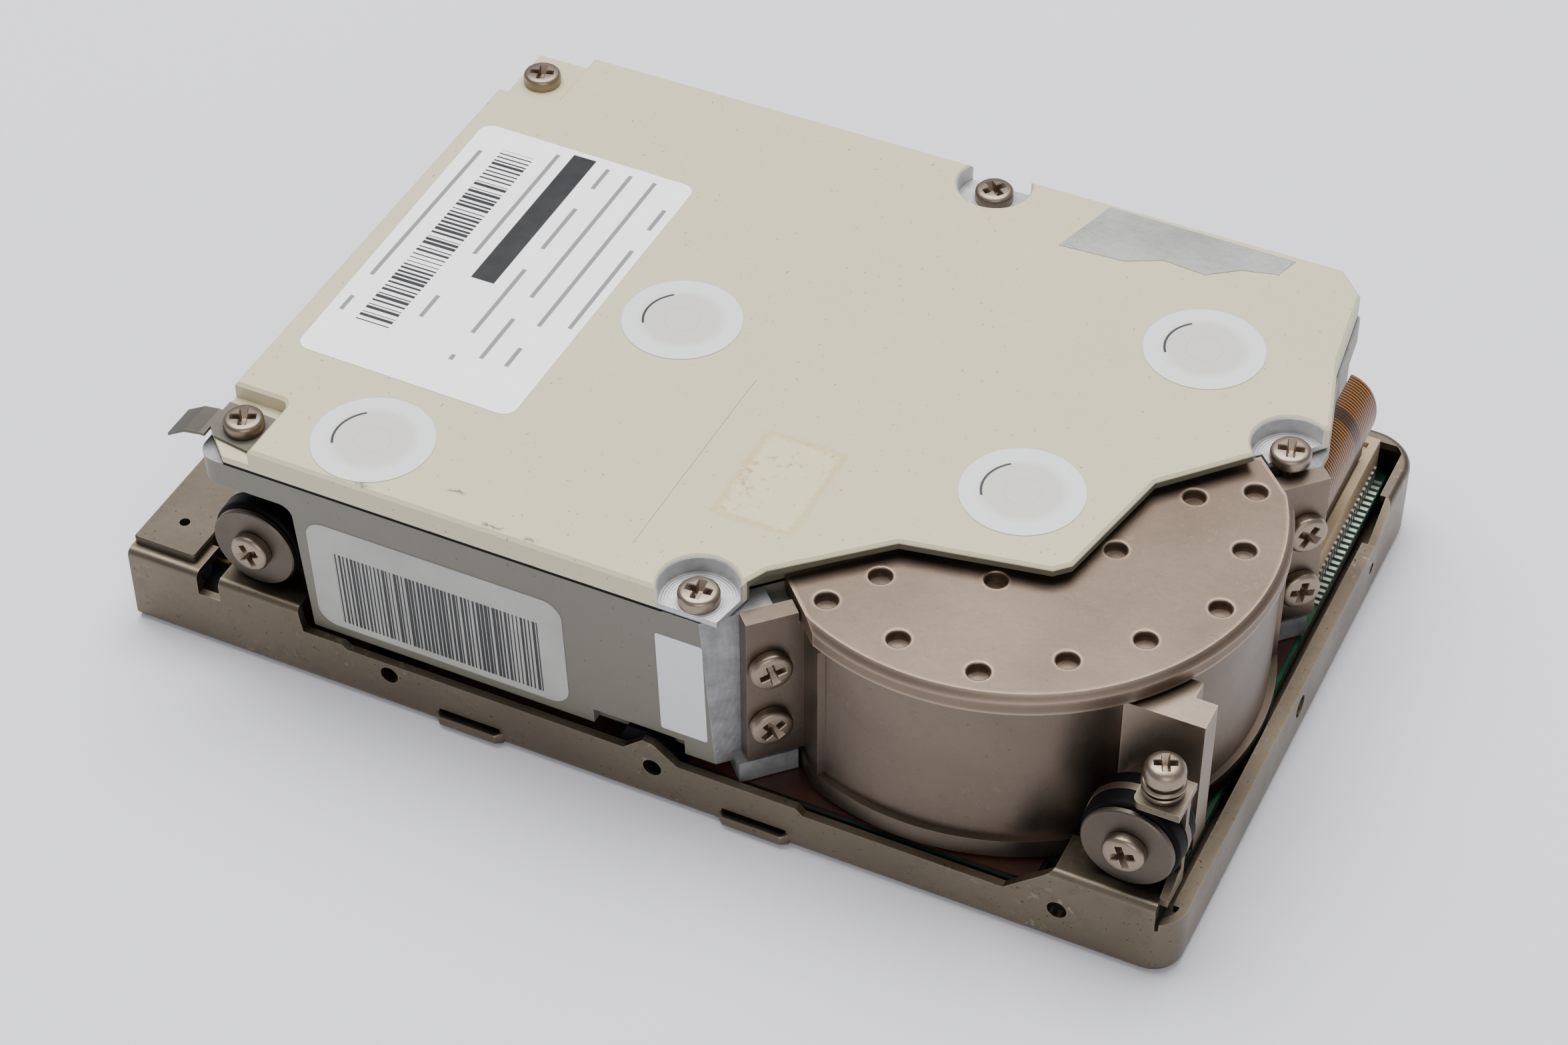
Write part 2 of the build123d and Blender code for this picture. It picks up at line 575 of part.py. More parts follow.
# base_casting: drafted housing with the disk and arm rooms cut out of it
pocket_top = wall_top - 4.4
with BuildPart() as base_casting:
    with BuildSketch(Plane.XY.offset(wall_top)) as casting_plan:
        with Locations(((casting_left + 84) / 2, 0)):
            Rectangle(84 - casting_left, 2 * casting_half)
        fillet(casting_plan.vertices().group_by(Axis.X)[0], casting_corner_radius)
    extrude(amount=casting_bottom - wall_top, taper=draft_angle)
    with BuildSketch(Plane.XY.offset(casting_bottom - 1)):
        with BuildLine():
            Polyline((mount_plane - 60, -60), (mount_plane + 13.1, 13.1), (75.0, 17.2), (71.4, 31.3),
                     (69.7, 45.9), (65.5, 50.4), (64.8, 60), (120, 60), (120, -60), close=True)
        make_face()
    extrude(amount=wall_top - casting_bottom + 2, mode=Mode.SUBTRACT)
    # Pivot wall reaching into the motor
    with BuildSketch(Plane.XY.offset(casting_bottom)):
        with Locations((pivot_x, pivot_y)):
            Circle(pivot_wall_radius)
    extrude(amount=wall_top - casting_bottom)
    # Ledge under the motor's top plate
    with BuildSketch(motor_plane(plate_bottom)):
        with Locations((plate_back - 0.3, 0)):
            Rectangle(40, 75, align=(Align.MIN, Align.CENTER))
        Circle(pivot_wall_radius, mode=Mode.SUBTRACT)
    extrude(amount=10, mode=Mode.SUBTRACT)
    # Feet under the motor's two screw flanges
    with BuildSketch(motor_plane(board_top + 0.6)):
        with Locations((3.4, -39.25)):
            Rectangle(5.8, 8.5, align=(Align.MIN, Align.CENTER))
        with Locations((3.4, 38.2)):
            Rectangle(5.8, 6.4, align=(Align.MIN, Align.CENTER))
    extrude(amount=ear_bottom - board_top - 1.0)
    # Rooms for the disks and the arm
    with BuildSketch(Plane.XY.offset(casting_floor)):
        with Locations((spindle_x, 0)):
            Circle(disk_room)
        with Locations((pivot_x, pivot_y)):
            Circle(pivot_room_radius)
        with BuildLine():
            Polyline((20, 0), (20, 46.8), (42.5, 46.8), (42.5, 38.2), (66.5, 38.2), (68.0, 30.0), (68.5, 20.0), (59.0, 8.0),
                     (pivot_x + 5, pivot_y + 6), (pivot_x - 2, pivot_y - 9), (24, -26), close=True)
        make_face()
    extrude(amount=wall_top, mode=Mode.SUBTRACT)
    # Window for the coil
    with BuildSketch(motor_plane(stack_middle - coil_thick / 2 - 1.2)):
        with Locations((4.0, 0)):
            Rectangle(10, 19.4, align=(Align.MIN, Align.CENTER))
    extrude(amount=coil_thick + 2.4, mode=Mode.SUBTRACT)
    # Bearing tube of the spindle, with the stator's seat
    with BuildSketch(Plane.XY.offset(casting_floor)):
        with Locations((spindle_x, 0)):
            Circle(5.8)
    extrude(amount=tube_top - casting_floor)
    with BuildSketch(Plane.XY.offset(casting_bottom)):
        with Locations((spindle_x, 0)):
            Circle(4.6 + fit_gap)
    extrude(amount=30, mode=Mode.SUBTRACT)
    with BuildSketch(Plane.XY.offset(casting_bottom)):
        with Locations((spindle_x, 0)):
            Circle(5.5)
    extrude(amount=1.5)
    # Post seat for the arm pivot
    with BuildSketch(Plane.XY.offset(casting_floor)):
        with Locations((pivot_x, pivot_y)):
            Circle(4.0)
    extrude(amount=0.8)
    with BuildSketch(Plane.XY.offset(casting_floor + 0.8)):
        with Locations((pivot_x, pivot_y)):
            Circle(2.5 + fit_gap)
    extrude(amount=-2.4, mode=Mode.SUBTRACT)
    # Pockets for the dampers at the left end, and the cut-back at the far right one
    for s in (-1, 1):
        with BuildSketch(Plane.XZ.offset(boss_face) if s < 0 else Plane.XZ.offset(-60)) as pocket:
            with BuildLine():
                Polyline((-80, 0), (-50.6, 0), (-50.6, 9.0), (-51.4, pocket_top), (-80, pocket_top), close=True)
            make_face()
            fillet(pocket.vertices().sort_by_distance((-51.4, pocket_top))[0], 2.0)
        extrude(amount=60 - boss_face, mode=Mode.SUBTRACT)
    with BuildSketch(Plane.XZ.offset(-60)):
        with BuildLine():
            Polyline((44.8, 0), (90, 0), (90, pocket_top), (46.6, pocket_top), close=True)
        make_face()
    extrude(amount=60 - boss_face, mode=Mode.SUBTRACT)
    # Recess at the right end for the flexible circuit and the tall connector
    with Locations((71.2, 13.6, casting_bottom - 1)):
        Box(10, 40, 35.6 - casting_bottom + 1, align=(Align.MIN, Align.MIN, Align.MIN), mode=Mode.SUBTRACT)
    # Raised notch over the side bumper, both sides
    for s in (-1, 1):
        with Locations((1.2, s * (casting_half + 1.2), casting_bottom)):
            Box(14.0, 8.0, 2 * (11.75 - casting_bottom) + 0.6, mode=Mode.SUBTRACT)
    # Tapped holes
    for x, s in damper_spots:
        if not (x > 0 and s < 0):
            with BuildSketch(along_side(x, boss_face, s)):
                Circle(1.45 + fit_gap)
            extrude(amount=-thread_deep - 0.5, mode=Mode.SUBTRACT)
    with Locations(*[(x, y, wall_top) for x, y in cover_screws_xy]):
        Cylinder(1.3, 9, mode=Mode.SUBTRACT)
    for u in (-ear_screw_u, ear_screw_u):
        for z in ear_screw_z:
            ear_axis = Plane(origin=motor_plane(z).from_local_coords((ear_face, u, 0)),
                             x_dir=(0, 0, 1), z_dir=(1, -1, 0))
            with BuildSketch(ear_axis):
                Circle(1.5 + fit_gap)
            extrude(amount=-5, mode=Mode.SUBTRACT)
save(base_casting, "base_casting")

with BuildPart() as cover_gasket:
    with BuildSketch(Plane.XY.offset(wall_top)):
        add(rim_outer)
        add(rim_inner, mode=Mode.SUBTRACT)
        with Locations(*cover_screws_xy):
            Circle(1.7, mode=Mode.SUBTRACT)
    extrude(amount=gasket_thick)
save(cover_gasket, "cover_gasket")

# top_cover: thin lid with a skirt, spot-faced at the screws
near_step_x = 9.0
near_step_y = 11.4
far_step_x = 9.7
far_step_y = 13.1
with BuildPart() as top_cover:
    with BuildSketch(Plane.XY.offset(lid_bottom)) :
        with BuildLine():
            Polyline(*body_outline, close=True)
        make_face()
    extrude(amount=lid_thick)
    with BuildSketch(Plane.XY.offset(skirt_bottom)):
        add(rim_outer)
        add(rim_inner, mode=Mode.SUBTRACT)
    extrude(amount=lid_bottom - skirt_bottom)
    # Solid pads under the five screws
    with BuildSketch(Plane.XY.offset(skirt_bottom)):
        with Locations(*cover_screws_xy):
            Circle(screw_seat_radius + pad_margin)
        with Locations((casting_left, -lid_half)):
            Rectangle(near_step_x + 1.5, near_step_y + 1.5, align=(Align.MIN, Align.MIN))
        with Locations((casting_left, lid_half)):
            Rectangle(far_step_x + 1.5, far_step_y + 1.5, align=(Align.MIN, Align.MAX))
        with BuildSketch(mode=Mode.PRIVATE) as lid_shape:
            with BuildLine():
                Polyline(*body_outline, close=True)
            make_face()
        add(lid_shape.sketch, mode=Mode.INTERSECT)
        with BuildSketch(motor_plane(0), mode=Mode.PRIVATE) as plate_room:
            with Locations((plate_back - 0.3, 0)):
                Rectangle(60, 2 * (motor_half + seat_gap), align=(Align.MIN, Align.CENTER))
            Circle(pivot_wall_radius, mode=Mode.SUBTRACT)
        add(plate_room.sketch, mode=Mode.SUBTRACT)
    extrude(amount=lid_bottom - skirt_bottom)
    # Spot faces and stepped corners
    with BuildSketch(Plane.XY.offset(screw_seat_z)):
        with Locations(*cover_screws_xy[1:4]):
            Circle(screw_seat_radius)
    extrude(amount=5, mode=Mode.SUBTRACT)
    with BuildSketch(Plane.XY.offset(corner_step_z)):
        with Locations((casting_left + near_step_x / 2 - 1, near_step_y / 2 - lid_half - 1)):
            RectangleRounded(near_step_x + 2, near_step_y + 2, 1.5)
        with Locations((casting_left + far_step_x / 2 - 1, lid_half + 1 - far_step_y / 2)):
            RectangleRounded(far_step_x + 2, far_step_y + 2, 1.5)
    extrude(amount=5, mode=Mode.SUBTRACT)
    with Locations(*[(x, y, height) for x, y in cover_screws_xy]):
        Cylinder(1.5, 12, mode=Mode.SUBTRACT)
    rim_edges = top_cover.faces().sort_by(Axis.Z)[-1].outer_wire().edges()
    chamfer(rim_edges, 0.45)
save(top_cover, "top_cover")

clip_thick = 0.5
with BuildPart() as cover_screws:
    for i, (x, y) in enumerate(cover_screws_xy):
        seat = screw_seat_z if 0 < i < 4 else corner_step_z + (clip_thick if i == 4 else 0)
        with BuildSketch(Plane.XY.offset(seat)):
            with Locations((x, y)):
                Circle(cover_head_radius)
        extrude(amount=cover_head_height)
        with BuildSketch(Plane.XY.offset(seat)):
            with Locations((x, y)):
                Circle(1.2)
        extrude(amount=wall_top - 4 - seat)
    heads = cover_screws.edges().filter_by(lambda e: e.geom_type == GeomType.CIRCLE and
                                           abs(e.radius - cover_head_radius) < 0.01 and e.center().Z > screw_seat_z + 1)
    fillet(heads, 0.4)
    for i, (x, y) in enumerate(cover_screws_xy):
        seat = screw_seat_z if 0 < i < 4 else corner_step_z + (clip_thick if i == 4 else 0)
        cross_recess(Plane.XY.offset(seat + cover_head_height).move(Location((x, y, 0))), 3.6, 1.2)
save(cover_screws, "cover_screws")

with BuildPart() as ground_clip:
    with BuildSketch(Plane.XY.offset(corner_step_z)) as clip_plan:
        with BuildLine():
            Polyline((-58.1, -41.2), (-58.0, -48.6), (-64.4, -47.7), (-66.1, -46.0), (-66.1, -40.7), close=True)
        make_face()
        with Locations(cover_screws_xy[4]):
            Circle(1.5, mode=Mode.SUBTRACT)
    extrude(amount=clip_thick)
    with BuildSketch(Plane.XZ.offset(42.6)) as curl:
        with BuildLine():
            Polyline((-65.8, corner_step_z), (-66.6, corner_step_z), (-69.2, corner_step_z - 0.5),
                     (-72.0, corner_step_z - 2.2), (-72.0, corner_step_z - 1.7),
                     (-69.0, corner_step_z + clip_thick - 0.4), (-66.6, corner_step_z + clip_thick),
                     (-65.8, corner_step_z + clip_thick), close=True)
        make_face()
    extrude(amount=5.4)
save(ground_clip, "ground_clip")

# Motor plates with the same outline; the upper one has the twelve pressed holes
plate_holes = [(9.1, 31.0), (19.0, 24.7), (28.0, 17.1), (30.0, 5.5), (7.2, 22.7), (13.1, 8.6)]


def motor_outline(back, half, radius, notch):
    """Sketch face of a motor plate in local coordinates: arc in front, straight flanks, notch at the pivot."""
    Circle(radius)
    with Locations((back, 0)):
        Rectangle(2 * radius, 2 * half, align=(Align.MIN, Align.CENTER), mode=Mode.INTERSECT)
    if notch:
        Circle(notch, mode=Mode.SUBTRACT)


with BuildPart() as motor_top_plate:
    with BuildSketch(motor_plane(plate_bottom)):
        motor_outline(plate_back, motor_half, motor_radius, pivot_wall_radius + seat_gap)
    extrude(amount=plate_thick)
    rim = motor_top_plate.faces().sort_by(Axis.Z)[-1].outer_wire().edges()
    chamfer(rim.filter_by(lambda e: e.geom_type == GeomType.CIRCLE and e.radius > 30), plate_bevel)
    with BuildSketch(motor_plane(plate_top)):
        with Locations(*[(v, s * u) for v, u in plate_holes for s in (-1, 1)]):
            Circle(plate_hole_radius)
    extrude(amount=-plate_hole_deep, mode=Mode.SUBTRACT)
    hole_tops = motor_top_plate.edges().filter_by(
        lambda e: e.geom_type == GeomType.CIRCLE and abs(e.radius - plate_hole_radius) < 0.01 and
        e.center().Z > plate_top - 0.01)
    fillet(hole_tops, 0.3)
save(motor_top_plate, "motor_top_plate")

with BuildPart() as motor_bottom_plate:
    with BuildSketch(motor_plane(lower_plate_bottom)):
        motor_outline(ear_face + 0.3, motor_half, motor_radius, pivot_wall_radius + seat_gap)
    extrude(amount=plate_thick)
save(motor_bottom_plate, "motor_bottom_plate")

shell_radius = motor_radius - shell_inset
with BuildPart() as motor_shell:
    with BuildSketch(motor_plane(lower_plate_top)):
        motor_outline(ear_face, motor_half - 0.4, shell_radius, 0)
        Circle(shell_radius - shell_thick, mode=Mode.SUBTRACT)
        for s in (-1, 1):
            with Locations((ear_face, s * (motor_half - 0.4))):
                Rectangle(8.0, 2.4, align=(Align.MIN, Align.MAX if s > 0 else Align.MIN))
    extrude(amount=plate_bottom - lower_plate_top)
    with BuildSketch(motor_plane(ear_bottom)):
        for s in (-1, 1):
            with Locations((ear_face, s * (ear_reach + motor_half) / 2)):
                Rectangle(ear_thick, ear_reach - motor_half, align=(Align.MIN, Align.CENTER))
            with Locations((ear_face, s * (motor_half - 1.0))):
                Rectangle(ear_thick, 2.4, align=(Align.MIN, Align.CENTER))
    extrude(amount=plate_bottom - ear_bottom)
    with BuildSketch(motor_plane(plate_bottom)):
        for s in (-1, 1):
            with Locations((ear_face, s * (ear_reach + motor_half + seat_gap) / 2)):
                Rectangle(ear_thick, ear_reach - motor_half - seat_gap, align=(Align.MIN, Align.CENTER))
    extrude(amount=ear_top - plate_bottom)
    for u in (-ear_screw_u, ear_screw_u):
        for z in ear_screw_z:
            ear_axis = Plane(origin=motor_plane(z).from_local_coords((ear_face, u, 0)),
                             x_dir=(0, 0, 1), z_dir=(1, -1, 0))
            with BuildSketch(ear_axis):
                Circle(1.7)
            extrude(amount=ear_thick, mode=Mode.SUBTRACT)
save(motor_shell, "motor_shell")

with BuildPart() as motor_screws:
    for u in (-ear_screw_u, ear_screw_u):
        for z in ear_screw_z:
            head_plane = Plane(origin=motor_plane(z).from_local_coords((ear_face + ear_thick, u, 0)),
                               x_dir=(0, 0, 1), z_dir=(1, -1, 0))
            with BuildSketch(head_plane):
                Circle(cheese_radius)
            extrude(amount=cheese_height)
            with BuildSketch(head_plane):
                Circle(1.5)
            extrude(amount=-ear_thick - 4)
    heads = motor_screws.edges().filter_by(lambda e: e.geom_type == GeomType.CIRCLE and abs(e.radius - cheese_radius) < 0.01)
    far_rims = [e for e in heads if abs((e.center().X - e.center().Y - pivot_x + pivot_y) / sqrt(2)
                                        - ear_face - ear_thick - cheese_height) < 0.01]
    fillet(far_rims, 0.4)
    for u in (-ear_screw_u, ear_screw_u):
        for z in ear_screw_z:
            tip = Plane(origin=motor_plane(z).from_local_coords((ear_face + ear_thick + cheese_height, u, 0)),
                        x_dir=(0, 0, 1), z_dir=(1, -1, 0))
            cross_recess(tip, 3.6, 1.2)
save(motor_screws, "motor_screws")

# mount_bracket: block on the shell that takes the near right damper
bracket_front = 37.6
bracket_back = 33.0
bracket_right = 77.6
bracket_bottom = 11.3
with BuildPart() as mount_bracket:
    with BuildSketch(Plane.XY.offset(bracket_bottom)):
        with Locations((62.5, -bracket_front)):
            Rectangle(bracket_right - 62.5, bracket_front - bracket_back, align=(Align.MIN, Align.MIN))
        with Locations((70.5, -bracket_back)):
            Rectangle(4.0, 3.0, align=(Align.MIN, Align.MIN))
        with Locations((pivot_x, pivot_y)):
            Circle(shell_radius + fit_gap, mode=Mode.SUBTRACT)
    extrude(amount=plate_bottom - 0.6 - bracket_bottom)
    with BuildSketch(along_side(damper_x_right, bracket_front, -1)):
        Circle(5.0)
    extrude(amount=boss_face - bracket_front)
    with BuildSketch(Plane.XY.offset(8.0)):
        with Locations((pivot_x, pivot_y)):
            Circle(motor_radius + fit_gap)
    extrude(amount=3.2, mode=Mode.SUBTRACT)
    with BuildSketch(along_side(damper_x_right, boss_face, -1)):
        Circle(1.45 + fit_gap)
    extrude(amount=-thread_deep - 0.5, mode=Mode.SUBTRACT)
save(mount_bracket, "mount_bracket")

# Magnets on the two plates
magnet_inner = 15.0
magnet_outer = 33.8
magnet_half_angle = 35.0
magnet_thick = 7.5


def sector(r_in, r_out, half_angle):
    """Ring sector about the pivot, symmetric about the motor's axis."""
    with BuildLine(mode=Mode.PRIVATE) as edge:
        CenterArc((0, 0), r_out, -half_angle, 2 * half_angle)
        CenterArc((0, 0), r_in, -half_angle, 2 * half_angle)
        for s in (-1, 1):
            a = radians(s * half_angle)
            Line((r_in * cos(a), r_in * sin(a)), (r_out * cos(a), r_out * sin(a)))
    make_face(edge.edges())


with BuildPart() as lower_magnet:
    with BuildSketch(motor_plane(lower_plate_top)):
        sector(magnet_inner, magnet_outer, magnet_half_angle)
    extrude(amount=magnet_thick)
save(lower_magnet, "lower_magnet")

with BuildPart() as upper_magnet:
    with BuildSketch(motor_plane(plate_bottom - magnet_thick)):
        sector(magnet_inner, magnet_outer, magnet_half_angle)
    extrude(amount=magnet_thick)
save(upper_magnet, "upper_magnet")

stop_radius = 1.6
stop_orbit = 16.0
yoke_half_angle = 24.0
stop_angle = yoke_half_angle + swing + degrees(stop_radius / stop_orbit) + 1.5
with BuildPart() as crash_stops:
    with BuildSketch(motor_plane(lower_plate_top)):
        with Locations(*[(stop_orbit * cos(radians(s * stop_angle)), stop_orbit * sin(radians(s * stop_angle)))
                         for s in (-1, 1)]):
            Circle(stop_radius)
    extrude(amount=15.5)
save(crash_stops, "crash_stops")

# Pivot: fixed post and bearings, swinging sleeve and arms
post_radius = 2.5
sleeve_radius = 6.0
comb_radius = 8.6
arm_thick = 1.2
arm_count = disk_count + 1
stack_bottom = stack_middle - (disk_pitch * (disk_count - 1) + disk_thick) / 2
arm_first = stack_bottom + disk_thick / 2 - disk_pitch / 2
comb_bottom = arm_first - arm_thick / 2
comb_top = comb_bottom + disk_pitch * disk_count + arm_thick
with BuildPart() as pivot_post:
    with BuildSketch(Plane.XY.offset(casting_floor - 1.2)):
        with Locations((pivot_x, pivot_y)):
            Circle(post_radius)
    extrude(amount=lid_bottom - seat_gap - casting_floor + 1.2)
save(pivot_post, "pivot_post")

with BuildPart() as pivot_bearings:
    for z in (comb_bottom + 0.8, comb_top - 3.4):
        with BuildSketch(Plane.XY.offset(z)):
            with Locations((pivot_x, pivot_y)):
                Circle(4.6 - fit_gap)
                Circle(post_radius + 0.02, mode=Mode.SUBTRACT)
        extrude(amount=2.6)
save(pivot_bearings, "pivot_bearings")

with BuildPart() as pivot_sleeve:
    with BuildSketch(Plane.XY.offset(comb_bottom)):
        with Locations((pivot_x, pivot_y)):
            Circle(sleeve_radius)
            Circle(4.6, mode=Mode.SUBTRACT)
    extrude(amount=comb_top - comb_bottom)
save(pivot_sleeve, "pivot_sleeve")

head_orbit = 50.0
arm_tip = 37.0
coil_inner = 18.0
coil_outer = 32.0
coil_half_angle = 22.0
coil_bottom = stack_middle - coil_thick / 2
with BuildPart() as arm_comb:
    with BuildSketch(motor_plane(comb_bottom)):
        Circle(comb_radius)
    extrude(amount=comb_top - comb_bottom)
    for i in range(arm_count):
        with BuildSketch(motor_plane(comb_bottom + i * disk_pitch)):
            with BuildLine():
                Polyline((0, -7.5), (-12, -6.0), (-arm_tip, -2.6), (-arm_tip, 2.6), (-12, 6.0), (0, 7.5), close=True)
            make_face()
            with Locations((-18, 0), (-26, 0)):
                Circle(2.2, mode=Mode.SUBTRACT)
        extrude(amount=arm_thick)
    with BuildSketch(motor_plane(coil_bottom)):
        sector(4.0, coil_inner, yoke_half_angle)
    extrude(amount=coil_thick)
    with BuildSketch(motor_plane(comb_bottom)):
        Circle(sleeve_radius + 0.02)
    extrude(amount=comb_top - comb_bottom, mode=Mode.SUBTRACT)
save(arm_comb, "arm_comb")

with BuildPart() as voice_coil:
    with BuildSketch(motor_plane(coil_bottom)):
        sector(coil_inner, coil_outer, coil_half_angle)
    extrude(amount=coil_thick)
    with BuildSketch(motor_plane(coil_bottom)):
        sector(coil_inner + 3.6, coil_outer - 3.6, coil_half_angle - 10)
    extrude(amount=coil_thick, mode=Mode.SUBTRACT)
save(voice_coil, "voice_coil")

# Suspensions and sliders: two per gap, one each at the top and bottom arm
slider_high = 0.45
fly_gap = 0.15
faces = []
for k in range(disk_count):
    disk_z = stack_bottom + k * disk_pitch
    faces.append((disk_z, -1))
    faces.append((disk_z + disk_thick, 1))
load_thick = 0.15
with BuildPart() as head_suspensions:
    for k, (z, side) in enumerate(faces):
        arm_i = (k + 1) // 2
        arm_z = comb_bottom + arm_i * disk_pitch
        base_z = arm_z + (arm_thick if side < 0 else -load_thick)
        with BuildSketch(motor_plane(base_z)):
            with BuildLine():
                Polyline((-arm_tip + 6, -2.4), (-arm_tip - 1, -2.4), (-head_orbit - 2, -0.9), (-head_orbit - 2, 0.9),
                         (-arm_tip - 1, 2.4), (-arm_tip + 6, 2.4), close=True)
            make_face()
        extrude(amount=load_thick)
save(head_suspensions, "head_suspensions")

with BuildPart() as head_sliders:
    for k, (z, side) in enumerate(faces):
        arm_i = (k + 1) // 2
        arm_z = comb_bottom + arm_i * disk_pitch
        face_z = arm_z + arm_thick + load_thick if side < 0 else arm_z - load_thick
        with BuildSketch(motor_plane(face_z)):
            with Locations((-head_orbit, 0)):
                Rectangle(2.6, 1.8)
        extrude(amount=(slider_high if side < 0 else -slider_high))
save(head_sliders, "head_sliders")

# Spindle: hub, disks, spacers and clamp turn; stator, coils and bearings are fixed
hub_bottom = stack_bottom - 1.4
stack_top = stack_bottom + disk_pitch * (disk_count - 1) + disk_thick
with BuildPart() as spindle_hub:
    with BuildSketch(Plane.XY.offset(hub_bottom)):
        with Locations((spindle_x, 0)):
            Circle(hub_radius)
    extrude(amount=hub_top - hub_bottom)
    with BuildSketch(Plane.XY.offset(hub_bottom)):
        with Locations((spindle_x, 0)):
            Circle(hub_radius + 2.5)
    extrude(amount=stack_bottom - hub_bottom)
    with BuildSketch(Plane.XY.offset(hub_bottom)):
        with Locations((spindle_x, 0)):
            Circle(hub_radius - 1.8)
    extrude(amount=tube_top + 0.6 - hub_bottom, mode=Mode.SUBTRACT)
    with BuildSketch(Plane.XY.offset(tube_top)):
        with Locations((spindle_x, 0)):
            Circle(2.02)
        with Locations(*[(spindle_x + 8.5 * cos(radians(60 * i)), 8.5 * sin(radians(60 * i)))
                         for i in range(6)]):
            Circle(1.05)
    extrude(amount=10, mode=Mode.SUBTRACT)
save(spindle_hub, "spindle_hub")

with BuildPart() as spindle_shaft:
    with BuildSketch(Plane.XY.offset(casting_bottom + 1.7)):
        with Locations((spindle_x, 0)):
            Circle(2.0)
    extrude(amount=hub_top - casting_bottom - 1.7)
save(spindle_shaft, "spindle_shaft")

rotor_bottom = casting_floor + 3.6
with BuildPart() as rotor_magnet:
    with BuildSketch(Plane.XY.offset(rotor_bottom)):
        with Locations((spindle_x, 0)):
            Circle(hub_radius - 1.8)
            Circle(9.5, mode=Mode.SUBTRACT)
    extrude(amount=tube_top - rotor_bottom)
save(rotor_magnet, "rotor_magnet")

with BuildPart() as data_disks:
    for k in range(disk_count):
        with BuildSketch(Plane.XY.offset(stack_bottom + k * disk_pitch)):
            with Locations((spindle_x, 0)):
                Circle(disk_radius)
                Circle(hub_radius + 0.02, mode=Mode.SUBTRACT)
        extrude(amount=disk_thick)
save(data_disks, "data_disks")

with BuildPart() as disk_spacers:
    for k in range(disk_count - 1):
        with BuildSketch(Plane.XY.offset(stack_bottom + k * disk_pitch + disk_thick)):
            with Locations((spindle_x, 0)):
                Circle(hub_radius + 3.2)
                Circle(hub_radius + 0.02, mode=Mode.SUBTRACT)
        extrude(amount=disk_pitch - disk_thick)
save(disk_spacers, "disk_spacers")

clamp_thick = 1.6
clamp_z = hub_top + 0.1
with BuildPart() as disk_clamp:
    with BuildSketch(Plane.XY.offset(clamp_z)):
        with Locations((spindle_x, 0)):
            Circle(hub_radius + 3.2)
            Circle(3.5, mode=Mode.SUBTRACT)
        with Locations(*[(spindle_x + 8.5 * cos(radians(60 * i)), 8.5 * sin(radians(60 * i))) for i in range(6)]):
            Circle(1.2, mode=Mode.SUBTRACT)
    extrude(amount=clamp_thick)
    with BuildSketch(Plane.XY.offset(stack_top)):
        with Locations((spindle_x, 0)):
            Circle(hub_radius + 3.2)
            Circle(hub_radius + 0.5, mode=Mode.SUBTRACT)
    extrude(amount=clamp_z - stack_top)
save(disk_clamp, "disk_clamp")

with BuildPart() as clamp_screws:
    clamp_spots = [(spindle_x + 8.5 * cos(radians(60 * i)), 8.5 * sin(radians(60 * i))) for i in range(6)]
    with BuildSketch(Plane.XY.offset(clamp_z + clamp_thick)):
        with Locations(*clamp_spots):
            Circle(1.9)
    extrude(amount=1.1)
    with BuildSketch(Plane.XY.offset(clamp_z + clamp_thick)):
        with Locations(*clamp_spots):
            Circle(1.0)
    extrude(amount=-clamp_thick - 2.4)
save(clamp_screws, "clamp_screws")

with BuildPart() as spindle_bearings:
    for z in (casting_floor + 0.4, tube_top - 3.4):
        with BuildSketch(Plane.XY.offset(z)):
            with Locations((spindle_x, 0)):
                Circle(4.6)
                Circle(2.0 + fit_gap, mode=Mode.SUBTRACT)
        extrude(amount=2.8)
save(spindle_bearings, "spindle_bearings")

tooth_count = 9
stator_bottom = rotor_bottom + 1.0
stator_high = tube_top - 2.0 - stator_bottom
with BuildPart() as spindle_stator:
    with BuildSketch(Plane.XY.offset(stator_bottom)):
        with Locations((spindle_x, 0)):
            Circle(7.0)
            Circle(5.8 + 0.02, mode=Mode.SUBTRACT)
        with Locations(*[Location((spindle_x + 7.7 * cos(radians(40 * i)), 7.7 * sin(radians(40 * i)), 0),
                                  (0, 0, 40 * i)) for i in range(tooth_count)]):
            Rectangle(2.6, 1.0)
    extrude(amount=stator_high)
save(spindle_stator, "spindle_stator")

with BuildPart() as stator_coils:
    for i in range(tooth_count):
        coil_at = Plane(origin=(spindle_x + 7.85 * cos(radians(40 * i)), 7.85 * sin(radians(40 * i)),
                                stator_bottom - 0.6),
                        x_dir=(cos(radians(40 * i)), sin(radians(40 * i)), 0), z_dir=(0, 0, 1))
        with BuildSketch(coil_at):
            Rectangle(1.4, 2.2)
        extrude(amount=stator_high + 1.2)
        with BuildSketch(coil_at):
            Rectangle(3.4, 1.04)
        extrude(amount=stator_high + 0.62, mode=Mode.SUBTRACT)
        with BuildSketch(coil_at.offset(0.58)):
            Rectangle(3.4, 1.04)
        extrude(amount=stator_high + 0.04, mode=Mode.SUBTRACT)
save(stator_coils, "stator_coils")

# Filters inside the housing
with BuildPart() as recirculation_filter:
    with Locations((32.0, 43.4, casting_floor)):
        Box(14, 5, 15, align=(Align.CENTER, Align.CENTER, Align.MIN))
save(recirculation_filter, "recirculation_filter")

with BuildPart() as breather_filter:
    with Locations((30.0, 40.5, lid_bottom)):
        Cylinder(4.0, 2.0, align=(Align.CENTER, Align.CENTER, Align.MAX))
save(breather_filter, "breather_filter")

